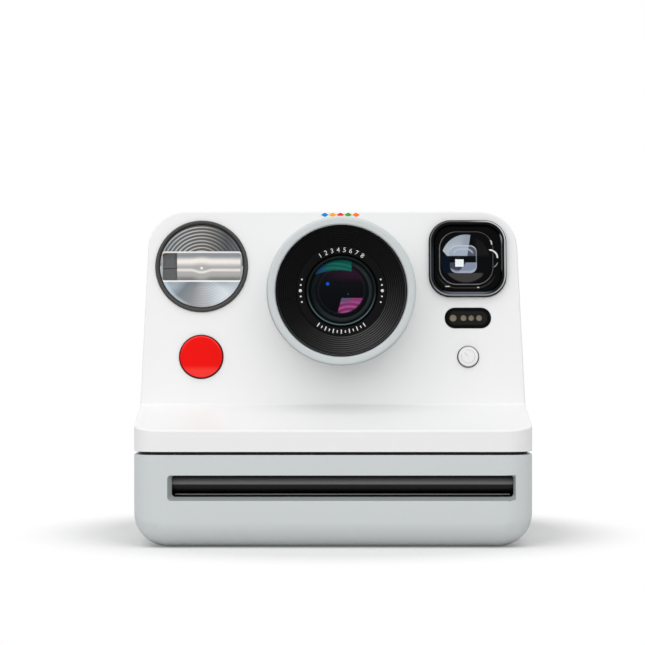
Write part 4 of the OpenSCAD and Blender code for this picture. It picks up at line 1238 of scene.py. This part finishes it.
def finder_bezel():
    """A rounded square frame with a soft outer edge and a step for the window."""
    bm = rounded_block(FINDER_W, FINDER_W, FINDER_R, -5, 1.4, FINDER_PLACE, 14)
    recess = rounded_block(FINDER_W - 2.6, FINDER_W - 2.6, FINDER_R - 1.2, -0.4, 3, FINDER_PLACE, 14)
    well = rounded_block(19.5, 19.5, 4.9, -3, 1, FINDER_PLACE, 14)
    hole = rounded_block(14, 14, 5.5, -6, 1, FINDER_PLACE, 14)
    bm = cut(bm, recess, well, hole)
    material = variant(GLOSS_BLACK, "bezel_gloss_black")
    shader_of(material).inputs["Specular IOR Level"].default_value = 0.04
    x, y, _ = local_point(material, FINDER_PLACE)
    edge = rounded_distance(x, y, FINDER_W / 2, FINDER_W / 2, FINDER_R)
    # Painted highlights: a thin line just inside the edge, bright on the upper right; a second one inside it;
    # a sheen below
    lit = rises(x + y * 0.4, 3.0, 11.0) * 0.75 + 0.2
    rim = line_at(edge, -0.36, 0.28) * (lit + rises(y, -7.0, -10.5) * 0.3)
    inner = all_of(line_at(edge, -1.35, 0.2), rises(x, 8.0, 9.2), rises(y, 3.5, 6.2) * 0.6 + 0.25,
                   between(y, -3.5, 6.9, 0.6))
    sheen = between(y, -10.6, -9.6) * between(x, -6.5, 6.0, 2.2)
    # A dim painted reflection along the left side
    left = between(x, -10.8, -9.9) * between(y, -6.5, 3.0, 2.0)
    paint(material, (0.0025, 0.0026, 0.0028), (left, (0.01, 0.015, 0.021)), (sheen, (0.105, 0.125, 0.15)),
          (rim, (0.62, 0.64, 0.67)), (inner, (0.66, 0.67, 0.68)))
    return make_piece("finder_bezel_frame", bm, "black_trim", material, "finder_bezel", edge=0.55, steps=4)


def finder_patches(x, y):
    """The pale window of the room in the upper left, with a leaning edge on its right and a cut corner."""
    round_patch = distance_to((x, y), -0.5, -0.1)
    lean = x - y * 0.15
    corner = x + y * 0.85
    patch = all_of(rises(round_patch, 7.3, 7.05), rises(lean, -0.12, -0.32), rises(y, 0.65, 0.9),
                   rises(corner, -5.5, -5.15))
    pale = layers((0.44, 0.5, 0.55), (rises(y, 2.6, 6.2), (0.36, 0.41, 0.47)),
                  (rises(x, -2.5, -0.4), (0.3, 0.35, 0.41)))
    below = all_of(rises(round_patch, 7.1, 6.7), rises(y, -4.15, -4.45), between(x, -6.0, 4.4, 0.5))
    beside = all_of(rises(round_patch, 7.0, 6.6), rises(x, 1.6, 3.2), between(y, 0.8, 6.4, 0.5))
    navy = all_of(rises(round_patch, 7.6, 7.2), rises(x, -4.6, -5.6), between(y, -4.6, 0.6, 0.6))
    drawn = layers((0.0018, 0.002, 0.0024), (navy, (0.0012, 0.0055, 0.0125)), (below, (0.05, 0.047, 0.048)),
                   (beside, (0.0095, 0.0075, 0.0085)), (patch, pale))
    return drawn, patch


def finder_frame(x, y, patch, under):
    """The inner frame, mirrored once more inside the window: pale above and below, with a dark middle."""
    off_x, off_y = x + 1.28, y + 0.21
    frame = rounded_distance(off_x, off_y, 3.92, 4.07, 2.0)
    inside = rises(frame, 0.08, -0.08)
    arch = line_at(rounded_distance(off_x, y + 1.3, 2.9, 4.1, 2.0), 0.0, 0.4)
    arch = all_of(arch, rises(y, 1.2, 2.0), 0.7)
    upper = inside * rises(y, 0.65, 0.9)
    right = rises(x - y * 0.8, 0.35, 0.65)
    lower = inside * rises(y, -1.05, -1.3)
    curve = all_of(lower, rises(frame, -1.0, -0.35), rises(y, -2.6, -3.6), 0.7)
    line = all_of(line_at(frame, -0.1, 0.2), rises(y, 2.0, 3.4) * 0.6 + 0.3,
                  larger(rises(y, 1.8, 2.4), rises(x, 0.5, 1.6)))
    return layers(under, (inside, (0.0018, 0.0022, 0.0035)), (upper, (0.085, 0.09, 0.125)),
                  (upper * patch, (0.36, 0.42, 0.51)), (upper * arch, (0.5, 0.56, 0.66)),
                  (lower, (0.05, 0.058, 0.088)), (lower * right, (0.24, 0.28, 0.38)),
                  (curve, (0.42, 0.47, 0.58)), (line, (0.62, 0.68, 0.8)))


def finder_glints(x, y, under):
    """Small sharp glints on the right, and two short dashes below."""
    point = (x, y)
    high = all_of(line_at(distance_to(point, 5.3, 4.4), 1.75, 0.3), between(y, 4.2, 5.4, 0.2),
                  rises(x, 6.0, 6.4))
    bow = all_of(line_at(distance_to(point, 6.6, 0.4), 2.1, 0.32), rises(x + y, 8.6, 9.2),
                 rises(y, 0.0, 0.4))
    low = all_of(line_at(distance_to(point, 6.7, -0.6), 2.1, 0.22), between(y, -2.5, -1.2, 0.2),
                 rises(x, 7.4, 7.8), 0.6)
    dash = between(x, -6.5, -5.3, 0.3) * between(y, -8.3, -8.05, 0.12)
    short = between(x, 2.75, 3.35, 0.15) * between(y, -8.6, -8.35, 0.12)
    return layers(under, (high, (0.85, 0.85, 0.85)), (bow, (0.95, 0.95, 0.95)), (low, (0.5, 0.5, 0.5)),
                  (dash, (0.85, 0.84, 0.82)), (short, (0.85, 0.84, 0.82)))


def finder_glass():
    """Dark gloss plastic with what it mirrors drawn on it; only the small opening is clear."""
    material = clear_material("finder_window_plastic", (1, 1, 1), 0.05)
    x, y, _ = local_point(material, FINDER_PLACE)
    swell = rounded_distance(x + 0.4, y - 0.18, 7.8, 7.78, 5.0)
    # A painted highlight along the swell's outline, and a dim painted echo of it lower down
    outline = line_at(swell, 0.0, 0.17) * (rises(x + y, 9.0, -9.0) * 0.6 + 0.35)
    echo = all_of(line_at(swell, 1.0, 0.3), rises(y, -4.0, -8.0), 0.5)
    colour, patch = finder_patches(x, y)
    colour = finder_frame(x, y, patch, colour)
    colour = layers(colour, (outline, (0.34, 0.33, 0.33)), (echo, (0.07, 0.065, 0.065)))
    colour = finder_glints(x, y, colour)
    hole = rounded_distance(x + 2.33, y + 1.04, 1.29, 1.36, 0.1)
    draw_on(material, rises(hole, -0.05, 0.1), colour, 0.25, 0.02)
    return material


def finder_window():
    bm = rounded_block(19.4, 19.4, 4.9, -3, 0.2, FINDER_PLACE, 12)
    crown = rounded_block(15.6, 15.56, 5.0, 0.0, 0.62, FINDER_PLACE @ shift(-0.4, 0.18, 0), 16)
    bm = with_added(bm, crown)
    return make_piece("finder_window_lens", bm, "clear_window", finder_glass(), "finder_window", edge=0.25,
                      steps=4)


def finder_mask():
    """A black plate behind the window that leaves the small opening to look through."""
    bm = rounded_block(13.8, 13.8, 5.4, -4.6, -3.15, FINDER_PLACE, 10)
    opening = rounded_block(3.0, 3.5, 0.25, -6, 0, FINDER_PLACE @ shift(-2.33, -0.5, 0), 4)
    bm = cut(bm, opening)
    return make_piece("finder_mask_plate", bm, "black_trim", GLOSS_BLACK)


tell(finder_bezel(), finder_window(), finder_mask())

# %% [markdown]
# ## Exposure sensor and front buttons
# The sensor is a black pill with four gold ports of different sizes, each sunk a little. The shutter button
# is a wide red cap with a soft edge; the self timer is a small white one with a plain clock sign moulded
# into it. Both stand in a dark gap, so they read as parts that move.

# %% Sensor and buttons
SENSOR_PLACE = on_panel(RIGHT_X, SENSOR_Z)
SHUTTER_PLACE = on_panel(LEFT_X, BUTTON_Z)
TIMER_PLACE = on_panel(RIGHT_X, BUTTON_Z)
PORTS = [(-4.3, 0.95), (-1.3, 0.8), (0.95, 0.75), (3.25, 0.8)]
GOLD = shader_material("port_gold", (0.20, 0.158, 0.105), 0.4, Metallic=0.2)
vary(GOLD, noise(GOLD, 2600, 3), 0.26, 0.45)


def sensor_bezel():
    bm = rounded_block(SENSOR_W, SENSOR_H, SENSOR_H / 2 - 0.01, -3, 0.2, SENSOR_PLACE, 16)
    wells = [rod(r + 0.1, -1.2, 1, SENSOR_PLACE @ shift(x, 0, 0), 40) for x, r in PORTS]
    bm = cut(bm, *wells)
    material = variant(GLOSS_BLACK, "sensor_gloss_black")
    x, y, _ = local_point(material, SENSOR_PLACE)
    panel = rises(rounded_distance(x, y, SENSOR_W / 2 - 1.05, SENSOR_H / 2 - 0.95, 1.9), 0.12, -0.12)
    paint(material, (0.0012, 0.0012, 0.0013), (panel, (0.0125, 0.0125, 0.013)))
    return make_piece("sensor_pill", bm, "black_trim", material, "sensor_bezel", edge=0.16, steps=3)


def sensor_ports():
    ports = []
    for x, r in PORTS:
        profile = smooth_profile((0.0, -1.15, 0), (r + 0.08, -1.15, 0), (r + 0.08, -0.12, 0.1),
                                 (r * 0.55, -0.12, 0.05), (r * 0.45, -0.3, 0.05), (0.0, -0.3, 0))
        ports.append(turned(profile, SENSOR_PLACE @ shift(x, 0, 0), 40, closed=False))
    return make_piece("sensor_gold_ports", joined(*ports), "gold", GOLD, "sensor_ports")


def button_material(name, colour, specular=0.16):
    material = shader_material(name, colour, 0.36, Specular_IOR_Level=specular)
    vary(material, noise(material, 300, 4), 0.3, 0.44)
    bump(material, noise(material, 3800, 2), 0.00001, 0.4)
    return material


def cap(radius, place, crown=0.16, edge=0.45):
    """A button's cap and stem: nearly flat on top, with a soft edge."""
    profile = smooth_profile(
        (0.0, -4.8, 0), (1.5, -4.8, 0), (1.5, -2.4, 0), (radius, -2.4, 0), (radius, 1.0 - crown, edge),
        (0.0, 1.0, 0))
    return turned(profile, place, 96, closed=False)


def shutter_red():
    """Red plastic with painted light: paler where the cap's crown turns down, a shaded edge, a fine highlight
    line on top.
    """
    material = button_material("red_button_plastic", (0.86, 0.006, 0.004), 0.05)
    x, y, _ = local_point(material, SHUTTER_PLACE)
    radius = distance_to((x, y), 0, 0)
    line = all_of(line_at(radius, SHUTTER_R - 0.5, 0.14), rises(y, 0.5, 4.5), 0.8)
    edge = rises(radius, SHUTTER_R - 0.26, SHUTTER_R - 0.12)
    paint(material, (0.86, 0.006, 0.004), (rises(y, -2.4, -4.4), (0.93, 0.042, 0.034)),
          (line, (0.95, 0.1, 0.085)), (edge, (0.1, 0.002, 0.002)))
    return material


def shutter_button():
    return make_piece("shutter_button_cap", cap(SHUTTER_R, SHUTTER_PLACE), "red_button", shutter_red(),
                      "shutter_button", body="shutter_button")


def clock_sign(material, place, radius, hand):
    """Mask of a plain clock: a ring, open at the top, and a hand."""
    point = local_point(material, place)
    x, y = point[0], point[1]
    ring = line_at(distance_to(point, 0, 0), radius, 0.13)
    gap = rises(y, 0.35 * radius, 0.5 * radius) * rises(abs(x), 0.55 * radius, 0.4 * radius)
    pointer = all_of(rises(abs(x), 0.15, 0.07), rises(y, -0.12, 0.02), rises(y, hand, hand - 0.12))
    return larger(pointer, ring * (1.0 - gap))


def timer_button():
    material = button_material("white_button_plastic", (0.86, 0.86, 0.86))
    sign = clock_sign(material, TIMER_PLACE @ turn(42, "Z"), 1.95, 1.6)
    radius = distance_to(local_point(material, TIMER_PLACE), 0, 0)
    # The darker rim is painted shade on the cap's edge
    edge = rises(radius, TIMER_R - 0.3, TIMER_R - 0.12)
    paint(material, (0.85, 0.85, 0.855), (sign * 0.5, (0.45, 0.46, 0.47)), (edge, (0.36, 0.365, 0.37)))
    bump(material, 1.0 - sign, 0.0001, 0.6)
    return make_piece("timer_button_cap", cap(TIMER_R, TIMER_PLACE, 0.12, 0.3), "white_button", material,
                      "timer_button", body="timer_button")


tell(sensor_bezel(), sensor_ports(), shutter_button(), timer_button())

# %% [markdown]
# ## Colour label
# A small printed label sits on the top edge over the lens: five long diamonds in bright inks, edge to edge.

# %% Label
LABEL_INKS = [(0.0, 0.24, 0.62), (1.0, 0.40, 0.0), (0.80, 0.035, 0.018), (0.06, 0.33, 0.02), (1.0, 0.20, 0.0)]
LABEL_PITCH, LABEL_H, LABEL_TOP = 2.28, 1.3, 0.42


def colour_label():
    """Diamonds on the panel just under its top edge; each ink is a material of its own."""
    materials, diamonds = [], []
    for index, ink in enumerate(LABEL_INKS):
        material = shader_material(f"label_ink_{index + 1}", ink, 0.45, Specular_IOR_Level=0.2)
        vary(material, noise(material, 1800, 2), 0.4, 0.52)
        materials.append(material)
        diamond = bmesh.new()
        bmesh.ops.create_circle(diamond, cap_ends=True, segments=4, radius=0.5)
        diamond.transform(Matrix.Diagonal((LABEL_PITCH, LABEL_H, 1, 1)))
        thicken(diamond, 0.05)
        diamond.transform(on_panel(LENS_X - 0.15 + (index - 2) * LABEL_PITCH,
                                   BODY_H - LABEL_TOP - LABEL_H / 2))
        for face in diamond.faces:
            face.material_index = index
        diamonds.append(diamond)
    return make_piece("colour_label", joined(*diamonds), "red_button", materials)


tell(colour_label())

# %% [markdown]
# ## Film slot
# Behind the slot lies the film shield: a round black bar that the picture slides under, and a lip that it
# slides over. The bar carries a painted highlight band and painted shade. The lip's front edge is a strip of
# steel whose light grey is also a painted highlight, and it draws a thin line along the slot. The sunken
# border round the slot is painted darker than the door's face, as painted shade.

# %% Film shield
SLOT_LEFT, SLOT_RIGHT = SLOT_X - SLOT_W / 2, SLOT_X + SLOT_W / 2
BAR_D = 4.8
SLOT_SHADE = (0.27, 0.295, 0.295)


def along_slot(d, z):
    """A frame at the slot whose +Z runs along it, to the right."""
    return shift(SLOT_X, back(d), z) @ turn(90, "Y")


def film_shield():
    """A frame behind the slot with the round bar, a ledge over it and the lip under it."""
    low, high = SLOT_Z - 2.9, SLOT_Z + SLOT_H + 2.9
    left, right = SLOT_LEFT - 1.4, SLOT_RIGHT + 1.4
    parts = [rod(2.0, left + 0.8 - SLOT_X, right - 0.8 - SLOT_X, along_slot(BAR_D, SHIELD_Z), 64),
             box(left, right, 2.05, 3.1, SLOT_Z + SLOT_H + 0.05, high),
             box(left, right, 2.05, 3.1, low, SLOT_Z - 1.3),
             box(left + 0.8, right - 0.8, 3.4, BAR_D, 19.3, 20.6),
             box(left + 0.8, right - 0.8, 3.3, 8.4, 13.75, 14.56),
             box(left, left + 1.4, 2.05, 8.9, low, high),
             box(right - 1.4, right, 2.05, 8.9, low, high)]
    material = moulded_plastic("shield_bar_plastic", (0.0035, 0.0035, 0.0036), 0.3, 0.3, 0.1)
    height = local_point(material, shift(SLOT_X, back(BAR_D), SHIELD_Z))[2]
    # Painted light on the bar: a highlight band on its upper part, and painted shade that keeps its lower
    # part darker
    highlight_band = rises(height, 0.0, 0.6) * rises(height, 1.95, 1.65)
    soft = rises(height, -1.9, -0.5)
    paint(material, (0.0045, 0.0045, 0.0047), (soft * 0.9, (0.017, 0.017, 0.0175)),
          (highlight_band * 0.85, (0.24, 0.24, 0.243)))
    return make_piece("film_shield_frame", joined(*parts), "black_trim", material, "film_shield",
                      body="film_door", edge=0.1)


def lip_strip():
    strip = box(SLOT_LEFT + 0.9, SLOT_RIGHT - 0.9, 3.02, 3.28, 14.84, 15.17)
    # The strip is steel, and its light grey is also a painted highlight on the lip's front edge
    material = shader_material("lip_steel_highlight", (0.14, 0.14, 0.143), 0.4)
    vary(material, noise(material, 260, 4), 0.34, 0.5)
    return make_piece("film_lip_strip", strip, "steel", material, body="film_door", edge=0.05)


def slot_border_shade():
    """The sunken border round the slot carries painted shade: a darker grey than the door's face."""
    material = variant(GREY_SHELL, "door_plastic")
    x, y, z = local_point(material, level_at(SLOT_X, 0, SLOT_Z + SLOT_H / 2))
    depth = smaller(0.0 - z, SLOT_CHAMFER)
    masks = [rises(z, -0.03, -0.14), rises(z, -2.6, -2.2)]
    sides = ((x, 1, SLOT_W, SLOT_RIGHT_WIDER), (x, -1, SLOT_W, SLOT_LEFT_WIDER), (y, -1, SLOT_H, SLOT_LOWER),
             (y, 1, SLOT_H, 0))
    for value, way, size, wider in sides:
        # How far out a point lies, allowing for the slope of the border on that side
        out = value * way + depth * (wider / SLOT_CHAMFER)
        masks.append(rises(out, size / 2 + wider + 0.12, size / 2 + wider + 0.04))
    paint(material, None, (all_of(*masks), SLOT_SHADE))
    bpy.data.objects["door_moulding"].data.materials[0] = material


slot_border_shade()
tell(film_shield(), lip_strip())

# %% [markdown]
# ## Materials for the parts inside
# The solids that need no new shape are carried over as they are, with a material for each slot of the
# record. Ground steel has fine scratches along the rollers, nylon is milky, the board has solder resist
# over copper, and the battery wears a shrink sleeve.

# %% Inside materials
def streaks(material, scale, detail=4):
    """Noise stretched by a scale per axis, for brushing and scratches."""
    mapping = add_node(material, "ShaderNodeMapping", Scale=scale)
    join(object_point(material), mapping.inputs["Vector"])
    node = add_node(material, "ShaderNodeTexNoise", Scale=1.0, Detail=detail)
    join(mapping.outputs["Vector"], node.inputs["Vector"])
    return Signal(material, node.outputs["Fac"])


def brushed_metal(name, colour, scale, roughness=0.34):
    material = shader_material(name, colour, roughness, Metallic=1.0)
    lines = streaks(material, scale)
    vary(material, lines, roughness - 0.1, roughness + 0.14)
    paint(material, tuple(c * 0.82 for c in colour), (lines, colour))
    bump(material, lines, 0.00003, 0.3)
    return material


def nylon_material():
    material = shader_material("natural_nylon", (0.74, 0.72, 0.64), 0.42, Subsurface_Weight=0.15,
                               Subsurface_Scale=0.001)
    paint(material, (0.68, 0.655, 0.575), (noise(material, 250, 4), (0.76, 0.74, 0.665)))
    return material


def board_material():
    """Green resist over copper tracks, which show as slightly lighter rectangles."""
    material = shader_material("board_resist", (0.012, 0.11, 0.045), 0.3)
    bricks = add_node(material, "ShaderNodeTexBrick", Scale=420.0, Color1=(0.014, 0.13, 0.05, 1),
                      Color2=(0.010, 0.09, 0.036, 1), Mortar=(0.008, 0.06, 0.026, 1))
    quarter_turns = add_node(material, "ShaderNodeMapping", Rotation=(math.pi / 2, 0, math.pi / 2))
    join(object_point(material), quarter_turns.inputs["Vector"])
    join(quarter_turns.outputs["Vector"], bricks.inputs["Vector"])
    paint(material, bricks.outputs["Color"])
    vary(material, noise(material, 500, 3), 0.24, 0.4)
    return material


def sleeve_material():
    material = shader_material("shrink_sleeve", (0.02, 0.05, 0.12), 0.28)
    wrinkles = streaks(material, (90, 400, 60), 3)
    paint(material, (0.018, 0.045, 0.105), (wrinkles, (0.024, 0.06, 0.14)))
    bump(material, wrinkles, 0.0001, 0.3)
    return material


def rubber_material():
    material = shader_material("foot_rubber", (0.010, 0.010, 0.010), 0.8, Specular_IOR_Level=0.2)
    vary(material, noise(material, 900, 5, 0.6), 0.7, 0.92)
    bump(material, noise(material, 2500, 3), 0.00004, 0.6)
    return material


def mirror_material():
    material = shader_material("mirror_silver", (0.86, 0.87, 0.88), 0.03, Metallic=1.0)
    vary(material, noise(material, 120, 3), 0.02, 0.06)
    return material


def dark_glass(name):
    """A lens element seen inside the barrel: nearly black, with one dim coloured sheen."""
    material = shader_material(name, (0.003, 0.004, 0.005), 0.15, Specular_IOR_Level=0.1)
    point = local_point(material, LENS_PLACE)
    sheen = rises(distance_to(point, -1.2, 1.6), 4.2, 0.6)
    vary(material, noise(material, 600, 3), 0.12, 0.2)
    paint(material, (0.003, 0.004, 0.005), (sheen, (0.008, 0.011, 0.018)))
    return material


STEEL = brushed_metal("zinc_steel", (0.56, 0.56, 0.57), (300, 300, 300), 0.38)
ROLLER_STEEL = brushed_metal("ground_steel", (0.60, 0.60, 0.61), (20, 2600, 2600), 0.26)
BRASS = brushed_metal("pinion_brass", (0.62, 0.46, 0.20), (400, 1200, 1200), 0.32)
INSIDE_BLACK = moulded_plastic("inside_black_plastic", (0.009, 0.009, 0.0094), 0.55, 1.0, 0.25)
NYLON, BOARD, SLEEVE, RUBBER = nylon_material(), board_material(), sleeve_material(), rubber_material()
MIRROR, INNER_GLASS = mirror_material(), dark_glass("inner_glass")
CLEAR_TUBE = clear_material("tube_glass", (0.93, 0.93, 0.9), 0.5)
SHUTTER_BLACK = moulded_plastic("shutter_black", (0.002, 0.002, 0.0021), 0.5, 0.2, 0.04)
CARRIED_OVER = [
    (INSIDE_BLACK, "film_tray roller_frame dark_chamber mirror_clamp seam_band"),
    (GLOSS_BLACK, "finder_tube counter_display"),
    (SHUTTER_BLACK, "focus_carrier shutter_plate shutter_blade_left shutter_blade_right"),
    (STEEL, "drive_motor gear_plate pick_arm hinge_pins"),
    (ROLLER_STEEL, "lower_roller upper_roller"),
    (BRASS, "motor_pinion"),
    (NYLON, "idler_gear roller_gear"),
    (SLEEVE, "battery flash_capacitor"),
    (BOARD, "main_board button_switches"),
    (MIRROR, "taking_mirror"),
    (INNER_GLASS, "focus_lenses"),
    (CLEAR_TUBE, "flash_tube"),
]
for material, names in CARRIED_OVER:
    for name in names.split():
        for material_slot in NODES[name].material_slots:
            material_slot.material = material
print("materials given to", sum(len(names.split()) for _, names in CARRIED_OVER), "solids")

# %% [markdown]
# ## Back and sides
# These parts aren't seen from the front: the eyepiece, two keys and the picture counter on the rear slope,
# the door latch and the charging socket in the tub's sides, the strap bars, the feet and the screws. Each
# gets what its kind always has: a soft edge, a printed sign, ribs for the thumb, a cross for the driver.

# %% Back and side parts
def signed_key(node, at, slot, name, colour, sign_maker, sign_colour):
    """A round key on the rear slope with a printed sign."""
    place = on_slope(*at)
    material = button_material(name + "_plastic", colour)
    sign = sign_maker(material, place)
    paint(material, colour, (sign, sign_colour))
    return make_piece(name + "_cap", cap(KEY_R, place, 0.12, 0.4), slot, material, node, body=node)


def power_sign(material, place):
    return clock_sign(material, place, 1.5, 1.9)


def bolt_sign(material, place):
    """A lightning bolt made of two leaning strips that overlap in the middle."""
    point = local_point(material, place)
    x, y = point[0], point[1]
    lean = x - y * 0.42
    upper = all_of(rises(lean, -1.05, -0.9), rises(lean, 0.1, -0.05), rises(y, -0.35, -0.2),
                   rises(y, 2.0, 1.85))
    lower = all_of(rises(lean, -0.1, 0.05), rises(lean, 1.05, 0.9), rises(y, -2.0, -1.85),
                   rises(y, 0.35, 0.2))
    return larger(upper, lower)


def eyepiece():
    """A black turned ring with a rounded rim, square inside, and its lens set back a little."""
    place = level_behind(RIGHT_X, 0, EYEPIECE_Z)
    profile = smooth_profile((6.65, 98.2, 0), (EYEPIECE_R, 98.2, 0), (EYEPIECE_R, 112.0, 0.9),
                             (7.4, 112.0, 0.5), (6.65, 110.6, 0))
    ring = turned(profile, place, 96)
    plate = rounded_block(17.4, 17.4, 8.6, 104.6, 106.4, place, 14)
    hole = rounded_block(9, 9, 2.5, 100, 110, place, 8)
    return make_piece("eyepiece_ring", joined(ring, cut(plate, hole)), "black_trim", BLACK_TRIM,
                      "eyepiece_frame")


def eyepiece_lens():
    bm = dome(6.55, 109.4, 109.95, 108.05, level_behind(RIGHT_X, 0, EYEPIECE_Z), 72, 8)
    return make_piece("eyepiece_glass", bm, "clear_window",
                      clear_material("eyepiece_clear", (0.93, 0.95, 0.96), 0.4), "eyepiece_lens")


def counter():
    """A smoked window over the display, whose one plain number counts the pictures left."""
    place = on_slope(*COUNTER_AT)
    glass = rounded_block(COUNTER_W - 0.1, COUNTER_H - 0.1, 1.95, -1.15, 0.08, place)
    window = make_piece("counter_glass", glass, "clear_window",
                        clear_material("smoked_window", (0.32, 0.32, 0.33), 0.45), "counter_window",
                        edge=0.2)
    lit = shader_material("display_segments", (0.75, 0.16, 0.05), 0.5, Emission_Color=(1.0, 0.25, 0.08, 1),
                          Emission_Strength=0.8)
    vary(lit, noise(lit, 900, 2), 0.4, 0.6)
    number = thicken(digit("8", 5.2), 0.05)
    number.transform(place @ shift(0, 0, -1.2))
    return window, make_piece("counter_number", number, "display", lit)


def door_latch():
    """A sliding tab in the tub's side, ribbed across so that a thumb can move it down."""
    parts = [box(52.9, 55.75, LATCH_D - 2.9, LATCH_D + 2.9, LATCH_Z - 2, LATCH_Z + 4.9),
             box(52.95, 53.85, LATCH_D - 4.4, LATCH_D + 4.4, LATCH_Z - 3.5, LATCH_Z + 6.5),
             box(52.95, 53.85, HINGE_D - 1.8, LATCH_D - 4.3, LATCH_Z + 3.5, LATCH_Z + 6.5)]
    for rib in range(6):
        low = LATCH_Z - 1.6 + rib * 1.1
        parts.append(box(55.6, 56.08, LATCH_D - 2.5, LATCH_D + 2.5, low, low + 0.55))
    return make_piece("door_latch_tab", joined(*parts), "black_trim", BLACK_TRIM, "door_latch",
                      body="door_latch", edge=0.12)


def usb_socket():
    """A pressed steel shell with rounded ends and a black tongue in the middle."""
    place = beside(-55.45, USB_D, USB_Z)
    outer = rounded_block(8.9, 3.7, 1.75, 0, 7.7, place, 8)
    inner = rounded_block(8.1, 2.9, 1.4, -1, 6.8, place, 8)
    steel = make_piece("usb_shell", cut(outer, inner), "steel", STEEL, "usb_socket")
    tongue = rounded_block(6.6, 0.7, 0.1, 1.0, 6.9, place, 2)
    return steel, make_piece("usb_tongue", tongue, "black_trim", BLACK_TRIM, edge=0.08)


def strap_bars():
    bars = [rod(1.0, -3, 3, shift(side * (BODY_W / 2 - 2.6), back(STRAP_D), STRAP_Z), 40)
            for side in (-1, 1)]
    return make_piece("strap_bar_pair", joined(*bars), "steel", STEEL, "strap_bars")


def feet():
    top = FOOT_H + 0.58
    profile = smooth_profile((0.0, top, 0), (3.97, top, 0), (3.97, 0.0, 0.2), (3.0, 0.0, 0.06),
                             (2.85, 0.14, 0.05), (0.0, 0.14, 0))
    pads = [turned(profile, upright(*at), 64, closed=False) for at in FOOT_PLACES]
    return make_piece("foot_pads", joined(*pads), "rubber", RUBBER, "feet")


def screws():
    low = FOOT_H + 0.12
    profile = smooth_profile((0.0, low + 3.8, 0), (1.0, low + 3.8, 0), (1.0, low + 0.86, 0),
                             (1.97, low + 0.86, 0), (1.97, low, 0.3), (0.0, low, 0))
    heads = []
    for x, d in SCREW_PLACES:
        head = turned(profile, upright(x, d), 48, closed=False)
        cross = with_added(box(x - 1.2, x + 1.2, d - 0.25, d + 0.25, -1, low + 0.5),
                           box(x - 0.25, x + 0.25, d - 1.2, d + 1.2, -1, low + 0.5))
        heads.append(cut(head, cross))
    return make_piece("screw_set", joined(*heads), "steel", STEEL, "screws")


tell(signed_key("power_button", POWER_AT, "red_button", "power_key", (0.83, 0.0075, 0.0045), power_sign,
                (0.85, 0.84, 0.83)),
     signed_key("flash_button", FLASH_KEY_AT, "white_button", "flash_key", (0.86, 0.86, 0.86), bolt_sign,
                (0.09, 0.09, 0.095)), eyepiece(), eyepiece_lens(), *counter(), door_latch(), *usb_socket(),
     strap_bars(), feet(), screws())

# %% [markdown]
# ## Floor, backdrop and light
# The floor is a plain pale sheet that keeps the camera's soft shadow. Seen straight by the camera, and in
# gloss and glass, the world is white, while the light that falls on the object stays at a plain level.

# %% Studio
FLOOR_COLOUR, FLOOR_BOUNCE = (0.78, 0.78, 0.78), (0.68, 0.68, 0.68)
WORLD_LIGHT, SHADOW_LIFT = 0.51, 0.15


def floor_material():
    """Diffuse near the camera, with its shadow lifted a little; further off as white as the backdrop."""
    material = bpy.data.materials.new("studio_floor")
    material.use_nodes = True
    material.node_tree.nodes.clear()
    output = add_node(material, "ShaderNodeOutputMaterial")
    seen = Signal(material, add_node(material, "ShaderNodeLightPath").outputs["Is Camera Ray"])
    diffuse = add_node(material, "ShaderNodeBsdfDiffuse")
    join(layers(FLOOR_BOUNCE, (seen, FLOOR_COLOUR)), diffuse.inputs["Color"])
    white = add_node(material, "ShaderNodeEmission", Strength=1.0)
    x, y, _ = local_point(material, Matrix.Identity(4))
    far = larger(rises(distance_to((x * 1.15, y * 0.75), 0, 0), 66, 112), SHADOW_LIFT)
    join(mixed(far * seen, diffuse.outputs[0], white.outputs[0]), output.inputs["Surface"])
    return material


def studio_floor():
    bm = bmesh.new()
    bmesh.ops.create_grid(bm, x_segments=1, y_segments=1, size=6.0)
    floor = scene_object("studio_floor", bm)
    floor.data.materials.append(floor_material())


def studio_world():
    """White where the camera sees it, straight or in gloss and glass; a plain level lights the object."""
    world = bpy.data.worlds.new("studio_world")
    world.use_nodes = True
    light = world.node_tree.nodes["Background"]
    light.inputs["Color"].default_value = (1, 1, 1, 1)
    light.inputs["Strength"].default_value = WORLD_LIGHT
    white = add_node(world, "ShaderNodeBackground", Color=(1, 1, 1, 1), Strength=1.0)
    path = add_node(world, "ShaderNodeLightPath")
    straight, through, gloss = (Signal(world, path.outputs[f"Is {kind} Ray"])
                                for kind in ("Camera", "Transmission", "Glossy"))
    seen = larger(larger(straight, through), gloss)
    join(mixed(seen, light.outputs[0], white.outputs[0]),
         world.node_tree.nodes["World Output"].inputs["Surface"])
    bpy.context.scene.world = world


def soft_light(name, place, aim, size, power):
    """A square area light, in metres and watts, that faces a point."""
    data = bpy.data.lights.new(name, "AREA")
    data.shape = "SQUARE"
    data.size = size
    data.energy = power
    lamp = bpy.data.objects.new(name, data)
    lamp.location = place
    lamp.rotation_euler = (Vector(aim) - Vector(place)).to_track_quat("-Z", "Y").to_euler()
    bpy.context.scene.collection.objects.link(lamp)


studio_floor()
studio_world()
soft_light("top_light", (-0.15, -0.65, 1.0), (0.0, -0.05, 0.05), 2.6, 20.2)
print("studio made")
